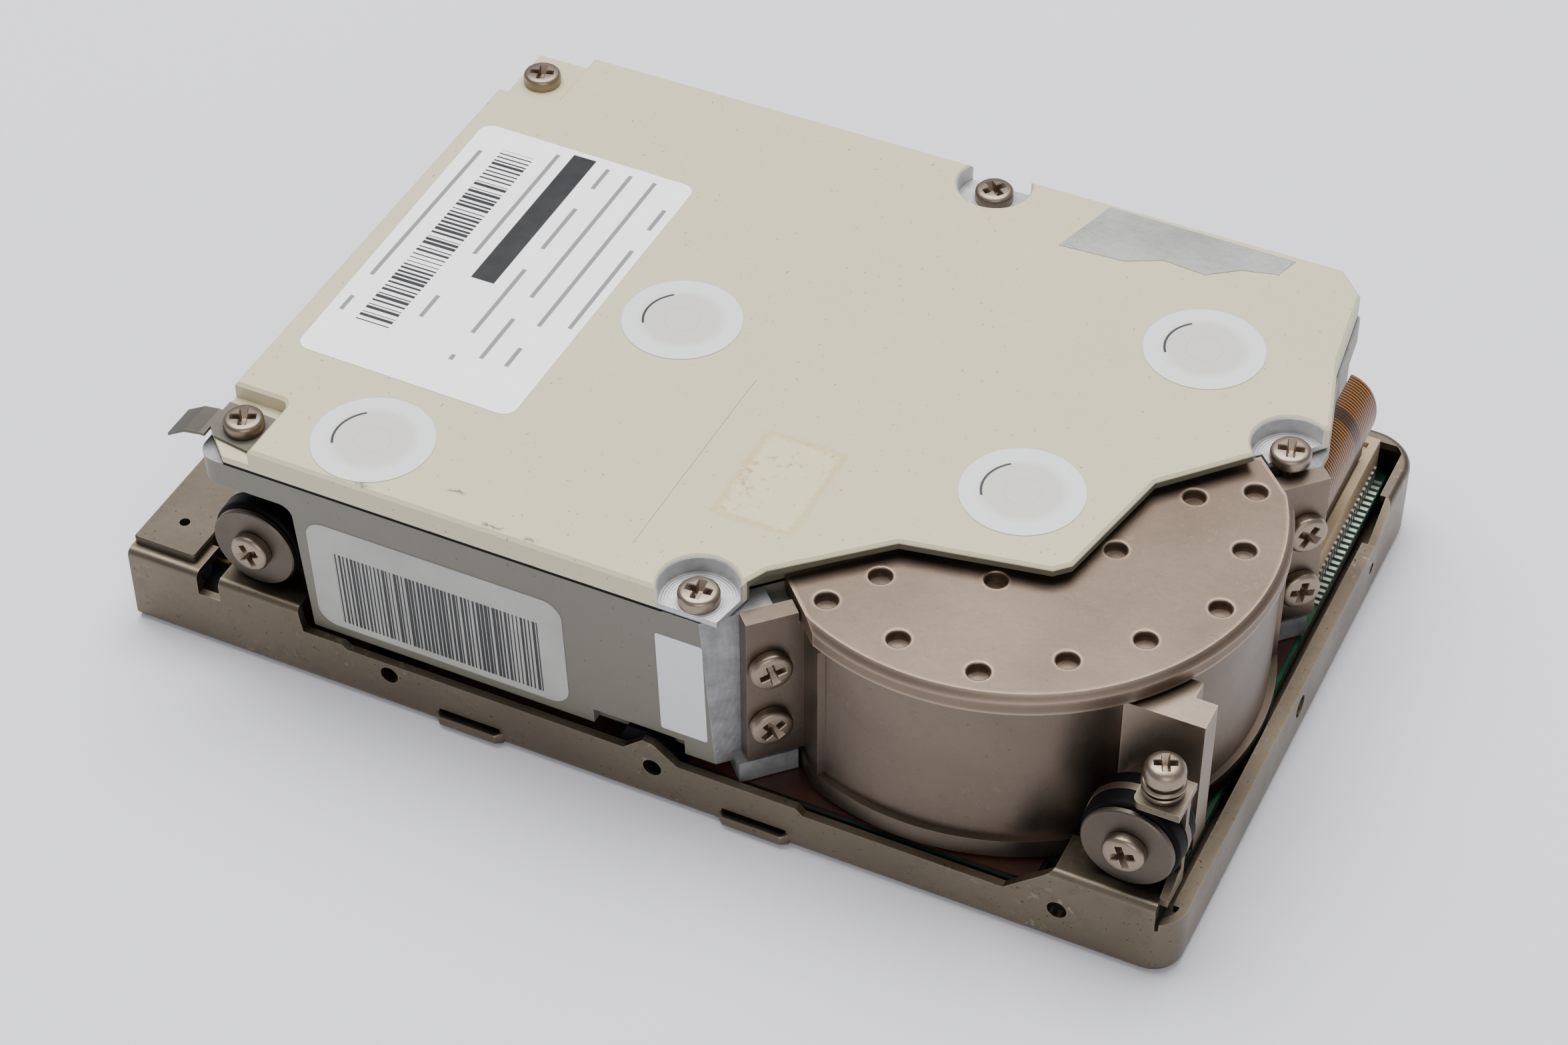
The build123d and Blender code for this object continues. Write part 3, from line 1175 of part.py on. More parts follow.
# Flexible circuit that leaves the housing at the right end and drops to the tall connector
flex_y0 = 14.6
flex_y1 = 35.6
flex_thick = 0.3
with BuildPart() as flex_circuit:
    with BuildSketch(Plane.XZ.offset(-flex_y0)):
        with BuildLine() as flex_path:
            Spline((72.0, 35.2), (75.2, 33.2), (76.3, 28.6), (74.8, 24.0), (73.2, 21.0))
        trace(line_width=flex_thick)
    extrude(amount=-(flex_y1 - flex_y0))
save(flex_circuit, "flex_circuit")

with BuildPart() as flex_stiffener:
    with Locations((72.9, (flexcon_y0 + 43.4) / 2 + 0.6, flexcon_top)):
        Box(0.8, 43.4 - flexcon_y0 - 1.2, 6.8, align=(Align.CENTER, Align.CENTER, Align.MIN))
save(flex_stiffener, "flex_stiffener")

# Labels and seals on the cover, each a thin sheet on its top face
label_corner = 2.0
with BuildPart() as rating_label:
    with BuildSketch(Plane.XY.offset(lid_top)) as rating_plan:
        with BuildLine():
            Polyline((-63.6, 28.3), (-27.6, 27.6), (-27.9, -29.1), (-62.7, -28.5), close=True)
        make_face()
        fillet(rating_plan.vertices(), label_corner)
    extrude(amount=label_thick)
save(rating_label, "rating_label")

seal_radius = 8.7
with BuildPart() as seal_labels:
    with BuildSketch(Plane.XY.offset(lid_top)):
        with Locations((-42.7, -41.1), (-15.9, -0.3), (53.3, 25.2), (41.6, -12.9)):
            Circle(seal_radius)
    extrude(amount=label_thick)
save(seal_labels, "seal_labels")

with BuildPart() as foil_label:
    with BuildSketch(Plane.XY.offset(lid_top)):
        with BuildLine():
            Polyline((26.0, 38.0), (29.5, 49.4), (58.4, 49.0), (57.2, 45.2), (52.0, 43.8), (47.5, 40.6),
                     (41.0, 41.2), (36.0, 38.6), close=True)
        make_face()
    extrude(amount=label_thick)
save(foil_label, "foil_label")

# The two labels on the near face of the casting, on its drafted plane
near_face = Plane(origin=(0, -casting_half, wall_top), x_dir=(1, 0, 0),
                  z_dir=(0, -cos(radians(draft_angle)), -sin(radians(draft_angle))))
with BuildPart() as side_label:
    with BuildSketch(near_face):
        with Locations(((-49.4 - 9.5) / 2, (11.0 + 31.2) / 2 - wall_top)):
            RectangleRounded(39.9, 20.2, 3.0)
    extrude(amount=label_thick)
save(side_label, "side_label")

with BuildPart() as lot_label:
    with BuildSketch(near_face):
        with Locations((8.3, (13.4 + 32.4) / 2 - wall_top)):
            RectangleRounded(7.0, 19.0, 0.4)
    extrude(amount=label_thick)
save(lot_label, "lot_label")
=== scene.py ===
import math

import bmesh
import bpy
from mathutils import Matrix, Vector


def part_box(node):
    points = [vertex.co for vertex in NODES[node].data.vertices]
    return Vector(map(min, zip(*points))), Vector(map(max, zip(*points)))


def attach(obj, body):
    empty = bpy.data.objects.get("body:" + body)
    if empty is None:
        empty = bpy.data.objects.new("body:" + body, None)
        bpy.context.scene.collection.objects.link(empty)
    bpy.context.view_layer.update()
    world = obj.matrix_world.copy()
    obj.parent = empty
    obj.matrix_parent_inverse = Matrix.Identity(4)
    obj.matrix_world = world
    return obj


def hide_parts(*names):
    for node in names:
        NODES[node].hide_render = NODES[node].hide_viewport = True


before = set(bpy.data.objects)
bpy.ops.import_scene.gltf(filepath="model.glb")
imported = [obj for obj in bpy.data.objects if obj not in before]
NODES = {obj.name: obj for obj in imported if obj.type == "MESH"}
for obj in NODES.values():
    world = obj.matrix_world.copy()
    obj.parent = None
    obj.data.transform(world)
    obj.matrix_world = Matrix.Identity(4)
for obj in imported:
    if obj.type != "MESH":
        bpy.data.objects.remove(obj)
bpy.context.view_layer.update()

MM = 0.001
DIAGONAL = math.sqrt(0.5)


def mm(*lengths):
    """Millimetres to metres."""
    return tuple(length * MM for length in lengths)


# Shader helpers


def new_material(name, rough, metallic=0.0, spec=0.5):
    """A material with its node tree, its shader and the object's own coordinates, in metres."""
    mat = bpy.data.materials.new(name)
    mat.use_nodes = True
    nt = mat.node_tree
    nt.nodes.clear()
    out = nt.nodes.new("ShaderNodeOutputMaterial")
    bsdf = nt.nodes.new("ShaderNodeBsdfPrincipled")
    nt.links.new(bsdf.outputs["BSDF"], out.inputs["Surface"])
    bsdf.inputs["Roughness"].default_value = rough
    bsdf.inputs["Metallic"].default_value = metallic
    bsdf.inputs["Specular IOR Level"].default_value = spec
    where = nt.nodes.new("ShaderNodeTexCoord")
    return mat, nt, bsdf, where.outputs["Object"]


def noise(nt, where, scale, detail, rough=0.55):
    """Procedural noise at `scale` cycles per metre."""
    n = nt.nodes.new("ShaderNodeTexNoise")
    n.inputs["Scale"].default_value = scale
    n.inputs["Detail"].default_value = detail
    n.inputs["Roughness"].default_value = rough
    nt.links.new(where, n.inputs["Vector"])
    return n.outputs["Fac"]


def ramp(nt, value, low, high, out_low=0.0, out_high=1.0):
    """Straight map of low..high to out_low..out_high, held at both ends."""
    r = nt.nodes.new("ShaderNodeMapRange")
    r.inputs["From Min"].default_value = low
    r.inputs["From Max"].default_value = high
    r.inputs["To Min"].default_value = out_low
    r.inputs["To Max"].default_value = out_high
    nt.links.new(value, r.inputs["Value"])
    return r.outputs["Result"]


def math_node(nt, op, a, b=None):
    """One sum; a and b are numbers or sockets."""
    m = nt.nodes.new("ShaderNodeMath")
    m.operation = op
    for i, v in enumerate((a, b)):
        if v is None:
            continue
        if isinstance(v, (int, float)):
            m.inputs[i].default_value = v
        else:
            nt.links.new(v, m.inputs[i])
    return m.outputs["Value"]


def mix(nt, fac, a, b):
    """Colour mix; a and b are colours or sockets."""
    m = nt.nodes.new("ShaderNodeMix")
    m.data_type = "RGBA"
    nt.links.new(fac, m.inputs[0])
    for i, v in ((6, a), (7, b)):
        if isinstance(v, tuple):
            m.inputs[i].default_value = v
        else:
            nt.links.new(v, m.inputs[i])
    return m.outputs[2]


def rgb(r, g, b):
    """sRGB 0-255 to linear."""
    out = []
    for c in (r, g, b):
        c /= 255
        out.append(c / 12.92 if c <= 0.04045 else ((c + 0.055) / 1.055) ** 2.4)
    return (*out, 1.0)


def tint(colour, k):
    """The colour made lighter or darker."""
    return tuple(min(1.0, c * k) for c in colour[:3]) + (1.0,)


def bump(nt, bsdf, height, distance):
    """Surface relief; `distance` is its depth in metres."""
    b = nt.nodes.new("ShaderNodeBump")
    b.inputs["Strength"].default_value = 1.0
    b.inputs["Distance"].default_value = distance
    nt.links.new(height, b.inputs["Height"])
    nt.links.new(b.outputs["Normal"], bsdf.inputs["Normal"])


def edges(nt, radius=0.0004, low=0.03, high=0.25):
    """1 along convex and concave edges within `radius`, 0 on flats."""
    b = nt.nodes.new("ShaderNodeBevel")
    b.samples = 4
    b.inputs["Radius"].default_value = radius
    g = nt.nodes.new("ShaderNodeNewGeometry")
    d = nt.nodes.new("ShaderNodeVectorMath")
    d.operation = "DOT_PRODUCT"
    nt.links.new(b.outputs["Normal"], d.inputs[0])
    nt.links.new(g.outputs["Normal"], d.inputs[1])
    return ramp(nt, math_node(nt, "SUBTRACT", 1.0, d.outputs["Value"]), low, high)


def axes(nt, where):
    sep = nt.nodes.new("ShaderNodeSeparateXYZ")
    nt.links.new(where, sep.inputs["Vector"])
    return sep.outputs["X"], sep.outputs["Y"], sep.outputs["Z"]


def both(nt, *masks):
    """Product of masks; all but the first may be numbers."""
    out = masks[0]
    for m in masks[1:]:
        out = math_node(nt, "MULTIPLY", out, m)
    return out


def either(nt, a, b):
    """The larger of two masks."""
    return math_node(nt, "MAXIMUM", a, b)


def span(nt, value, low, high, soft=0.00005):
    """1 where value lies between low and high, in metres."""
    rise = ramp(nt, value, low - soft, low + soft)
    fall = ramp(nt, value, high - soft, high + soft, 1.0, 0.0)
    return both(nt, rise, fall)


def field(nt, a, b, a_range, b_range, soft=0.00005):
    """1 inside a rectangle, given by its (low, high) in two directions, in metres."""
    return both(nt, span(nt, a, *a_range, soft), span(nt, b, *b_range, soft))


def reach(nt, x, y, centre):
    """Distance from `centre` in the plane of x and y, in metres."""
    dx = math_node(nt, "SUBTRACT", x, centre[0])
    dy = math_node(nt, "SUBTRACT", y, centre[1])
    out = nt.nodes.new("ShaderNodeVectorMath")
    out.operation = "LENGTH"
    join = nt.nodes.new("ShaderNodeCombineXYZ")
    nt.links.new(dx, join.inputs["X"])
    nt.links.new(dy, join.inputs["Y"])
    nt.links.new(join.outputs["Vector"], out.inputs[0])
    return out.outputs["Value"]


def waves(nt, value, pitch):
    """Sine of value, one turn to each `pitch` metres."""
    return math_node(nt, "SINE", math_node(nt, "MULTIPLY", value, 2 * math.pi / pitch))


def chance_of(nt, cell, seed):
    """A random value from 0 to 1 for each whole number."""
    w = nt.nodes.new("ShaderNodeTexWhiteNoise")
    w.noise_dimensions = "1D"
    nt.links.new(math_node(nt, "ADD", cell, seed), w.inputs["W"])
    return w.outputs["Value"]


def steps(nt, value, pitch, chance, seed):
    """Random bars: cells of `pitch` metres along value, each on with the given chance."""
    cell = math_node(nt, "FLOOR", math_node(nt, "DIVIDE", value, pitch))
    return math_node(nt, "LESS_THAN", chance_of(nt, cell, seed), chance)


def bars(nt, value, pitch, thin, thick, seed):
    """One bar to each cell of `pitch` metres, from `thin` to `thick` of the cell wide."""
    place = math_node(nt, "DIVIDE", value, pitch)
    wide = ramp(nt, chance_of(nt, math_node(nt, "FLOOR", place), seed), 0, 1, thin, thick)
    return math_node(nt, "LESS_THAN", math_node(nt, "FRACT", place), wide)


# Radius in metres and limits of the edge mask, for wide painted highlights along edges
BROAD_EDGE_HIGHLIGHT = (0.0009, 0.004, 0.05)
METAL_DEPTH = 0.012 * MM


def metal(name, colour, rough=0.35, grain=9000, blotch=60, spots=0.0, pits=0.0, rim=0.35, dirt=0.25,
          broad=False, extra=None):
    """Plated or bare metal: blotchy tone, grime, pale spots, dark pits and a painted highlight along the
    edges.

    `grain` and `blotch` are the fine and the broad noise in cycles per metre. `spots`, `pits`, `rim` and
    `dirt` say how strongly each shows, `rim` being the painted edge highlight, and `broad` widens that
    painted highlight.
    """
    mat, nt, bsdf, where = new_material(name, rough, 1.0)
    tone = ramp(nt, noise(nt, where, blotch, 5), 0.3, 0.7)
    col = mix(nt, tone, tint(colour, 0.8), tint(colour, 1.12))
    grime = ramp(nt, noise(nt, where, blotch * 4, 6, rough=0.7), 0.52, 0.72, 0.0, dirt)
    col = mix(nt, grime, col, tint(colour, 0.45))
    if spots:
        cluster = ramp(nt, noise(nt, where, 90, 2), 0.5, 0.62)
        spot = both(nt, cluster, ramp(nt, noise(nt, where, 900, 2), 0.6, 0.66, 0.0, spots))
        col = mix(nt, spot, col, tint(colour, 1.9))
    if pits:
        pit = ramp(nt, noise(nt, where, 1900, 2), 0.68, 0.73, 0.0, pits)
        col = mix(nt, pit, col, tint(colour, 0.2))
    # Painted highlight: edges mixed towards a lighter tint of the colour, as if lit
    if rim:
        edge_highlight = edges(nt, *BROAD_EDGE_HIGHLIGHT) if broad else edges(nt)
        col = mix(nt, both(nt, edge_highlight, rim), col, tint(colour, 2.4 if broad else 1.9))
    if extra:
        col = extra(nt, where, col)
    nt.links.new(col, bsdf.inputs["Base Color"])
    fine = noise(nt, where, grain, 3)
    uneven = ramp(nt, fine, 0.2, 0.8, rough - 0.07, rough + 0.07)
    dull = ramp(nt, noise(nt, where, blotch * 2.3, 4), 0.35, 0.75, 0.0, 0.12)
    nt.links.new(math_node(nt, "ADD", uneven, dull), bsdf.inputs["Roughness"])
    dents = ramp(nt, noise(nt, where, blotch * 14, 4), 0.3, 0.7, 0.0, 0.8)
    bump(nt, bsdf, math_node(nt, "ADD", fine, dents), METAL_DEPTH)
    return mat


PLAIN_GRAIN, PLAIN_DEPTH = 4000, 0.01 * MM


def plain(name, colour, rough=0.5, spec=0.5, tone=0.12):
    """Plastic, rubber or paper of one colour, up to `tone` darker in places."""
    mat, nt, bsdf, where = new_material(name, rough, 0.0, spec)
    blotch = ramp(nt, noise(nt, where, 120, 5), 0.3, 0.7)
    nt.links.new(mix(nt, blotch, tint(colour, 1 - tone), colour), bsdf.inputs["Base Color"])
    fine = noise(nt, where, PLAIN_GRAIN, 3)
    nt.links.new(ramp(nt, fine, 0.2, 0.8, rough - 0.05, rough + 0.06), bsdf.inputs["Roughness"])
    bump(nt, bsdf, fine, PLAIN_DEPTH)
    return mat


# Heights taken from the frame, in metres
LID_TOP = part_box("top_cover")[1][2]
PLATE_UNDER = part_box("motor_top_plate")[0][2]

# Places on the part: screw seats of the lid in millimetres, and in metres the radius of the bare metal round
# them, the four round seals, the arm's pivot and its distance from the face under the motor's ears
SEAT_SCREWS = ((11.9, 47.5), (71.1, 11.7), (10.2, -47.5))
SPOT_RADIUS = 5.6 * MM
SEALS = (mm(-42.7, -41.1), mm(-15.9, -0.3), mm(53.3, 25.2), mm(41.6, -12.9))
PIVOT = mm(40.8, -11.9)
EAR_FACE = 6.5 * MM

COVER = rgb(201, 192, 160)
CASTING = rgb(108, 105, 93)
PAINT_DEPTH = 0.018 * MM


def paint(name, colour, bare_mask, bare_low, bare_high, extra=None):
    """Satin paint with orange peel, faint dirt, rubbed edges and machined places left bare."""
    mat, nt, bsdf, where = new_material(name, 0.42, 0.0, 0.4)
    x, y, z = axes(nt, where)
    blotch = ramp(nt, noise(nt, where, 35, 6), 0.35, 0.7)
    col = mix(nt, blotch, tint(colour, 0.95), colour)
    smudge = both(nt, ramp(nt, noise(nt, where, 55, 3), 0.5, 0.65),
                  ramp(nt, noise(nt, where, 700, 4, rough=0.7), 0.62, 0.7, 0.0, 0.4))
    col = mix(nt, smudge, col, tint(colour, 0.55))
    speck = ramp(nt, noise(nt, where, 1500, 1), 0.74, 0.77, 0.0, 0.7)
    col = mix(nt, speck, col, tint(colour, 0.3))
    rub = both(nt, edges(nt, 0.00035), ramp(nt, noise(nt, where, 260, 4), 0.56, 0.64, 0.0, 0.8))
    col = mix(nt, rub, col, rgb(70, 70, 66))
    if extra:
        col = extra(nt, where, x, y, z, col)
    nt.links.new(ramp(nt, noise(nt, where, 300, 4), 0.2, 0.8, 0.36, 0.5), bsdf.inputs["Roughness"])
    bare, marks = bare_mask(nt, x, y, z)
    shade = ramp(nt, noise(nt, where, 160, 5, rough=0.7), 0.3, 0.75)
    col = mix(nt, bare, col, mix(nt, shade, bare_low, bare_high))
    nt.links.new(both(nt, bare, 0.6), bsdf.inputs["Metallic"])
    nt.links.new(col, bsdf.inputs["Base Color"])
    peel = noise(nt, where, 2600, 3)
    bump(nt, bsdf, math_node(nt, "ADD", peel, both(nt, bare, marks)), PAINT_DEPTH)
    return mat


GROOVE_PITCH = 0.4 * MM


def cover_bare(nt, x, y, z):
    """The three turned screw seats of the lid, and the height of their grooves."""
    near = None
    marks = None
    for centre in SEAT_SCREWS:
        r = reach(nt, x, y, mm(*centre))
        inside = ramp(nt, r, SPOT_RADIUS, SPOT_RADIUS + 0.3 * MM, 1.0, 0.0)
        groove = both(nt, inside, ramp(nt, waves(nt, r, GROOVE_PITCH), -1, 1))
        near = inside if near is None else either(nt, near, inside)
        marks = groove if marks is None else math_node(nt, "ADD", marks, groove)
    sunk = ramp(nt, z, LID_TOP - 0.3 * MM, LID_TOP - 0.15 * MM, 1.0, 0.0)
    return both(nt, near, sunk), marks


# Marks on the lid, in metres: a long scratch, a patch of old glue, and the place beside the motor where the
# lid's edge is darkened with painted shade and some dirt
SCRATCH_X, SCRATCH_Y = mm(-0.5, -1.2), mm(-7.4, -44.2)
SCRATCH_HALF, SCRATCH_WANDER = mm(0.06, 0.6)
GLUE_X, GLUE_Y = mm(5.2, 17.4), mm(-34.3, -16.2)
GLUE_RIM, GLUE_RIM_SOFT, GLUE_SOFT = mm(0.8, 0.5, 0.4)
RAGGED = 0.6 * MM
DARK_X, DARK_Y = mm(12.0, 69.0), mm(-44.0, 8.0)

# Dark scuffs near the lid's edge, in millimetres: middle, length along X and width along Y
SCUFFS = ((-27.1, -45.3, 2.0, 0.5), (-19.7, -49.4, 2.8, 0.5), (-13.7, -49.4, 1.6, 0.4),
          (-39.5, -49.6, 2.2, 0.4))
SCUFF_SOFT_X, SCUFF_SOFT_Y = mm(0.4, 0.2)


def scratch(nt, where, x, y, col):
    """One long line that wanders a little to both sides."""
    slope = (SCRATCH_X[1] - SCRATCH_X[0]) / (SCRATCH_Y[1] - SCRATCH_Y[0])
    start = SCRATCH_X[0] - slope * SCRATCH_Y[0]
    wander = ramp(nt, noise(nt, where, 30, 2), 0.0, 1.0, -SCRATCH_WANDER, SCRATCH_WANDER)
    off = math_node(nt, "SUBTRACT", x, math_node(nt, "MULTIPLY", y, slope))
    off = math_node(nt, "SUBTRACT", off, wander)
    line = both(nt, span(nt, off, start - SCRATCH_HALF, start + SCRATCH_HALF),
                span(nt, y, SCRATCH_Y[1], SCRATCH_Y[0]))
    return mix(nt, both(nt, line, 0.75), col, rgb(110, 84, 62))


def glue_patch(nt, where, x, y, col):
    """Pale patch with a browner rim and crust."""
    patch = field(nt, x, y, GLUE_X, GLUE_Y, GLUE_SOFT)
    crust = ramp(nt, noise(nt, where, 620, 5, rough=0.65), 0.56, 0.68)
    middle = field(nt, x, y, (GLUE_X[0] + GLUE_RIM, GLUE_X[1] - GLUE_RIM),
                   (GLUE_Y[0] + GLUE_RIM, GLUE_Y[1] - GLUE_RIM), GLUE_RIM_SOFT)
    rim = math_node(nt, "SUBTRACT", 1.0, middle)
    brown = either(nt, both(nt, crust, 0.8), both(nt, rim, 0.45))
    stain = mix(nt, brown, rgb(208, 198, 160), rgb(172, 142, 76))
    return mix(nt, both(nt, patch, 0.95), col, stain)


def cover_extra(nt, where, x, y, z, col):
    """Scratch, glue, scuffs, and painted shade with some dirt on the lid's edge beside the motor."""
    col = scratch(nt, where, x, y, col)
    ragged = ramp(nt, noise(nt, where, 900, 5, rough=0.75), 0.3, 0.7, -RAGGED, RAGGED)
    ragged_x = math_node(nt, "ADD", x, ragged)
    ragged_y = math_node(nt, "ADD", y, ragged)
    col = glue_patch(nt, where, ragged_x, ragged_y, col)
    for middle_x, middle_y, long, wide in SCUFFS:
        along = span(nt, ragged_x, *mm(middle_x - long / 2, middle_x + long / 2), SCUFF_SOFT_X)
        across = span(nt, ragged_y, *mm(middle_y - wide / 2, middle_y + wide / 2), SCUFF_SOFT_Y)
        col = mix(nt, both(nt, along, across, 0.8), col, rgb(56, 58, 62))
    # Painted shade with some dirt: the lid's side beside the motor darkened just under its top
    by_motor = field(nt, x, y, DARK_X, DARK_Y)
    low = ramp(nt, z, LID_TOP - 0.6 * MM, LID_TOP - 0.3 * MM, 0.9, 0.0)
    return mix(nt, both(nt, by_motor, low), col, tint(COVER, 0.12))


# Machined places of the casting, in metres: height of its rim, and middle and pitch of the cutter's arcs
RIM_Z = 36.9 * MM
ARC_MIDDLE = mm(30, -55)
ARC_PITCH = 1.2 * MM


def casting_bare(nt, x, y, z):
    """The machined face under the motor's ears with the rim beside it, and the height of its arcs."""
    out = math_node(nt, "MULTIPLY", math_node(nt, "SUBTRACT", x, y), DIAGONAL)
    front = (PIVOT[0] - PIVOT[1]) * DIAGONAL + EAR_FACE
    face = ramp(nt, out, front - 0.1 * MM, front - 0.05 * MM)
    top = ramp(nt, z, RIM_Z, RIM_Z + 0.05 * MM)
    arc = reach(nt, z, math_node(nt, "ADD", x, y), ARC_MIDDLE)
    return either(nt, face, top), ramp(nt, waves(nt, arc, ARC_PITCH), -1, 1, 0.0, 0.4)


# Rings of a round seal, as radii in metres, and the ends of its arc in radians
SEAL_OUTER = 9.0 * MM
SEAL_MIDDLE, SEAL_RING = mm(5.2, 6.6), mm(2.5, 2.7)
SEAL_ARC, SEAL_ARC_ENDS = mm(5.4, 5.78), (-0.9, 0.58)
SEAL_RIM = mm(8.55, 8.7)


def seal_material():
    """White seal with a greyer middle, a faint inner ring and a plain arc."""
    mat, nt, bsdf, where = new_material("clear_seal", 0.35)
    x, y, _ = axes(nt, where)
    r = None
    angle = None
    for seal in SEALS:
        d = reach(nt, x, y, seal)
        dx = math_node(nt, "SUBTRACT", seal[0], x)
        dy = math_node(nt, "SUBTRACT", seal[1], y)
        a = math_node(nt, "ARCTAN2", dy, dx)
        part = math_node(nt, "MULTIPLY", a, math_node(nt, "LESS_THAN", d, SEAL_OUTER))
        r = d if r is None else math_node(nt, "MINIMUM", r, d)
        angle = part if angle is None else math_node(nt, "ADD", angle, part)
    col = mix(nt, ramp(nt, r, *SEAL_MIDDLE), rgb(200, 198, 190), rgb(219, 220, 220))
    col = mix(nt, both(nt, span(nt, r, *SEAL_RING, 0.1 * MM), 0.3), col, rgb(170, 168, 160))
    arc = both(nt, span(nt, r, *SEAL_ARC), span(nt, angle, *SEAL_ARC_ENDS, 0.01))
    col = mix(nt, arc, col, rgb(40, 40, 42))
    col = mix(nt, both(nt, ramp(nt, r, *SEAL_RIM), 0.5), col, rgb(150, 146, 134))
    nt.links.new(col, bsdf.inputs["Base Color"])
    bump(nt, bsdf, noise(nt, where, 900, 3), 0.01 * MM)
    return mat


# Printed areas of the two labels, in metres: (low, high) across and along
BAR_COLUMN = (mm(-58.0, -52.6), mm(-19.9, 23.5))
DARK_BLOCK = (mm(-47.7, -43.9), mm(-4.8, 27.0))
SIDE_BARS = (mm(-45.4, -13.1), mm(12.3, 26.2))
BAR_PITCH, SIDE_BAR_PITCH, DASH_PITCH = mm(0.9, 0.62, 5.2)

# Grey lines of the large label, in millimetres: place across, low and high end along
LINE_ROWS = ((-29.4, -9.0, 26.0), (-33.6, -20.0, 26.0), (-37.6, -20.0, 26.0), (-41.4, -22.0, 26.0),
             (-49.8, -24.0, 26.0), (-60.9, -19.0, 22.0))
LINE_HALF = 0.35
LABEL_DEPTH = 0.012 * MM


def rating_material():
    """Blank white label with generic bars, a plain dark block and grey lines where the print was."""
    mat, nt, bsdf, where = new_material("white_label", 0.38)
    x, y, _ = axes(nt, where)
    ink = both(nt, field(nt, x, y, *BAR_COLUMN), bars(nt, y, BAR_PITCH, 0.2, 0.8, 3.0))
    ink = either(nt, ink, field(nt, x, y, *DARK_BLOCK))
    for k, (row_x, low, high) in enumerate(LINE_ROWS):
        row = field(nt, x, y, mm(row_x - LINE_HALF, row_x + LINE_HALF), mm(low, high))
        dash = both(nt, row, steps(nt, y, DASH_PITCH, 0.72, 11.0 + 17 * k), 0.8)
        ink = either(nt, ink, dash)
    nt.links.new(mix(nt, ink, rgb(255, 255, 255), rgb(24, 24, 26)), bsdf.inputs["Base Color"])
    nt.links.new(ramp(nt, noise(nt, where, 400, 3), 0.2, 0.8, 0.3, 0.42), bsdf.inputs["Roughness"])
    bump(nt, bsdf, noise(nt, where, 700, 3), LABEL_DEPTH)
    return mat


def side_material():
    """Grey paper label with generic upright bars."""
    mat, nt, bsdf, where = new_material("bar_label", 0.42)
    x, _, z = axes(nt, where)
    ink = both(nt, field(nt, x, z, *SIDE_BARS), bars(nt, x, SIDE_BAR_PITCH, 0.35, 0.9, 5.0))
    paper = mix(nt, ramp(nt, noise(nt, where, 90, 5), 0.3, 0.7), rgb(154, 153, 147), rgb(172, 171, 165))
    nt.links.new(mix(nt, ink, paper, rgb(26, 26, 28)), bsdf.inputs["Base Color"])
    nt.links.new(ramp(nt, noise(nt, where, 400, 3), 0.2, 0.8, 0.36, 0.5), bsdf.inputs["Roughness"])
    bump(nt, bsdf, noise(nt, where, 700, 3), LABEL_DEPTH)
    return mat


# Where the dark of the board fades out, in metres along Y and X
SHADE_Y, SHADE_X = mm(-36, -32), mm(0, 60)


def board_material():
    """Green board, dark where the tray's wall and the housing shade it."""
    mat, nt, bsdf, where = new_material("circuit_board", 0.35)
    x, y, _ = axes(nt, where)
    col = mix(nt, ramp(nt, noise(nt, where, 500, 5), 0.3, 0.7), rgb(10, 60, 40), rgb(22, 96, 62))
    shade = either(nt, ramp(nt, y, *SHADE_Y, 1.0, 0.0), ramp(nt, x, *SHADE_X, 1.0, 0.0))
    nt.links.new(mix(nt, both(nt, shade, 0.9), col, rgb(14, 18, 16)), bsdf.inputs["Base Color"])
    bump(nt, bsdf, noise(nt, where, 1500, 3), 0.02 * MM)
    return mat


CONDUCTOR_PITCH, BAND_PITCH = mm(0.55, 2.6)


def film_material():
    """Amber film with fine dark conductors down the loop and some wider dark ones among them."""
    mat, nt, bsdf, where = new_material("amber_film", 0.35, 0.0, 0.35)
    _, y, _ = axes(nt, where)
    lines = waves(nt, y, CONDUCTOR_PITCH)
    col = mix(nt, ramp(nt, lines, 0.1, 0.6), rgb(42, 25, 14), rgb(158, 100, 30))
    col = mix(nt, both(nt, steps(nt, y, BAND_PITCH, 0.3, 2.0), 0.8), col, rgb(40, 24, 16))
    nt.links.new(col, bsdf.inputs["Base Color"])
    bump(nt, bsdf, ramp(nt, lines, 0.0, 0.7), 0.02 * MM)
    return mat


# Where the glue line fades in and out on the motor's wall, in metres
LINE_END_Y, LINE_START_X, LINE_FADE_X = mm(-36, -32), mm(25.5, 27), mm(30, 50)
LINE_WANDER = 0.4 * MM


def glue_line(nt, where, col):
    """Thin ragged line of old brown glue on the wall, just under the top plate, on the near side."""
    x, y, z = axes(nt, where)
    wander = ramp(nt, noise(nt, where, 220, 4), 0.3, 0.7, -LINE_WANDER, LINE_WANDER)
    height = math_node(nt, "ADD", z, wander)
    near = both(nt, ramp(nt, y, *LINE_END_Y, 1.0, 0.0), ramp(nt, x, *LINE_START_X),
                ramp(nt, x, *LINE_FADE_X, 1.0, 0.25))
    high = ramp(nt, height, PLATE_UNDER - 0.7 * MM, PLATE_UNDER - 0.5 * MM, 0.0, 0.85)
    return mix(nt, both(nt, near, high), col, rgb(74, 46, 18))
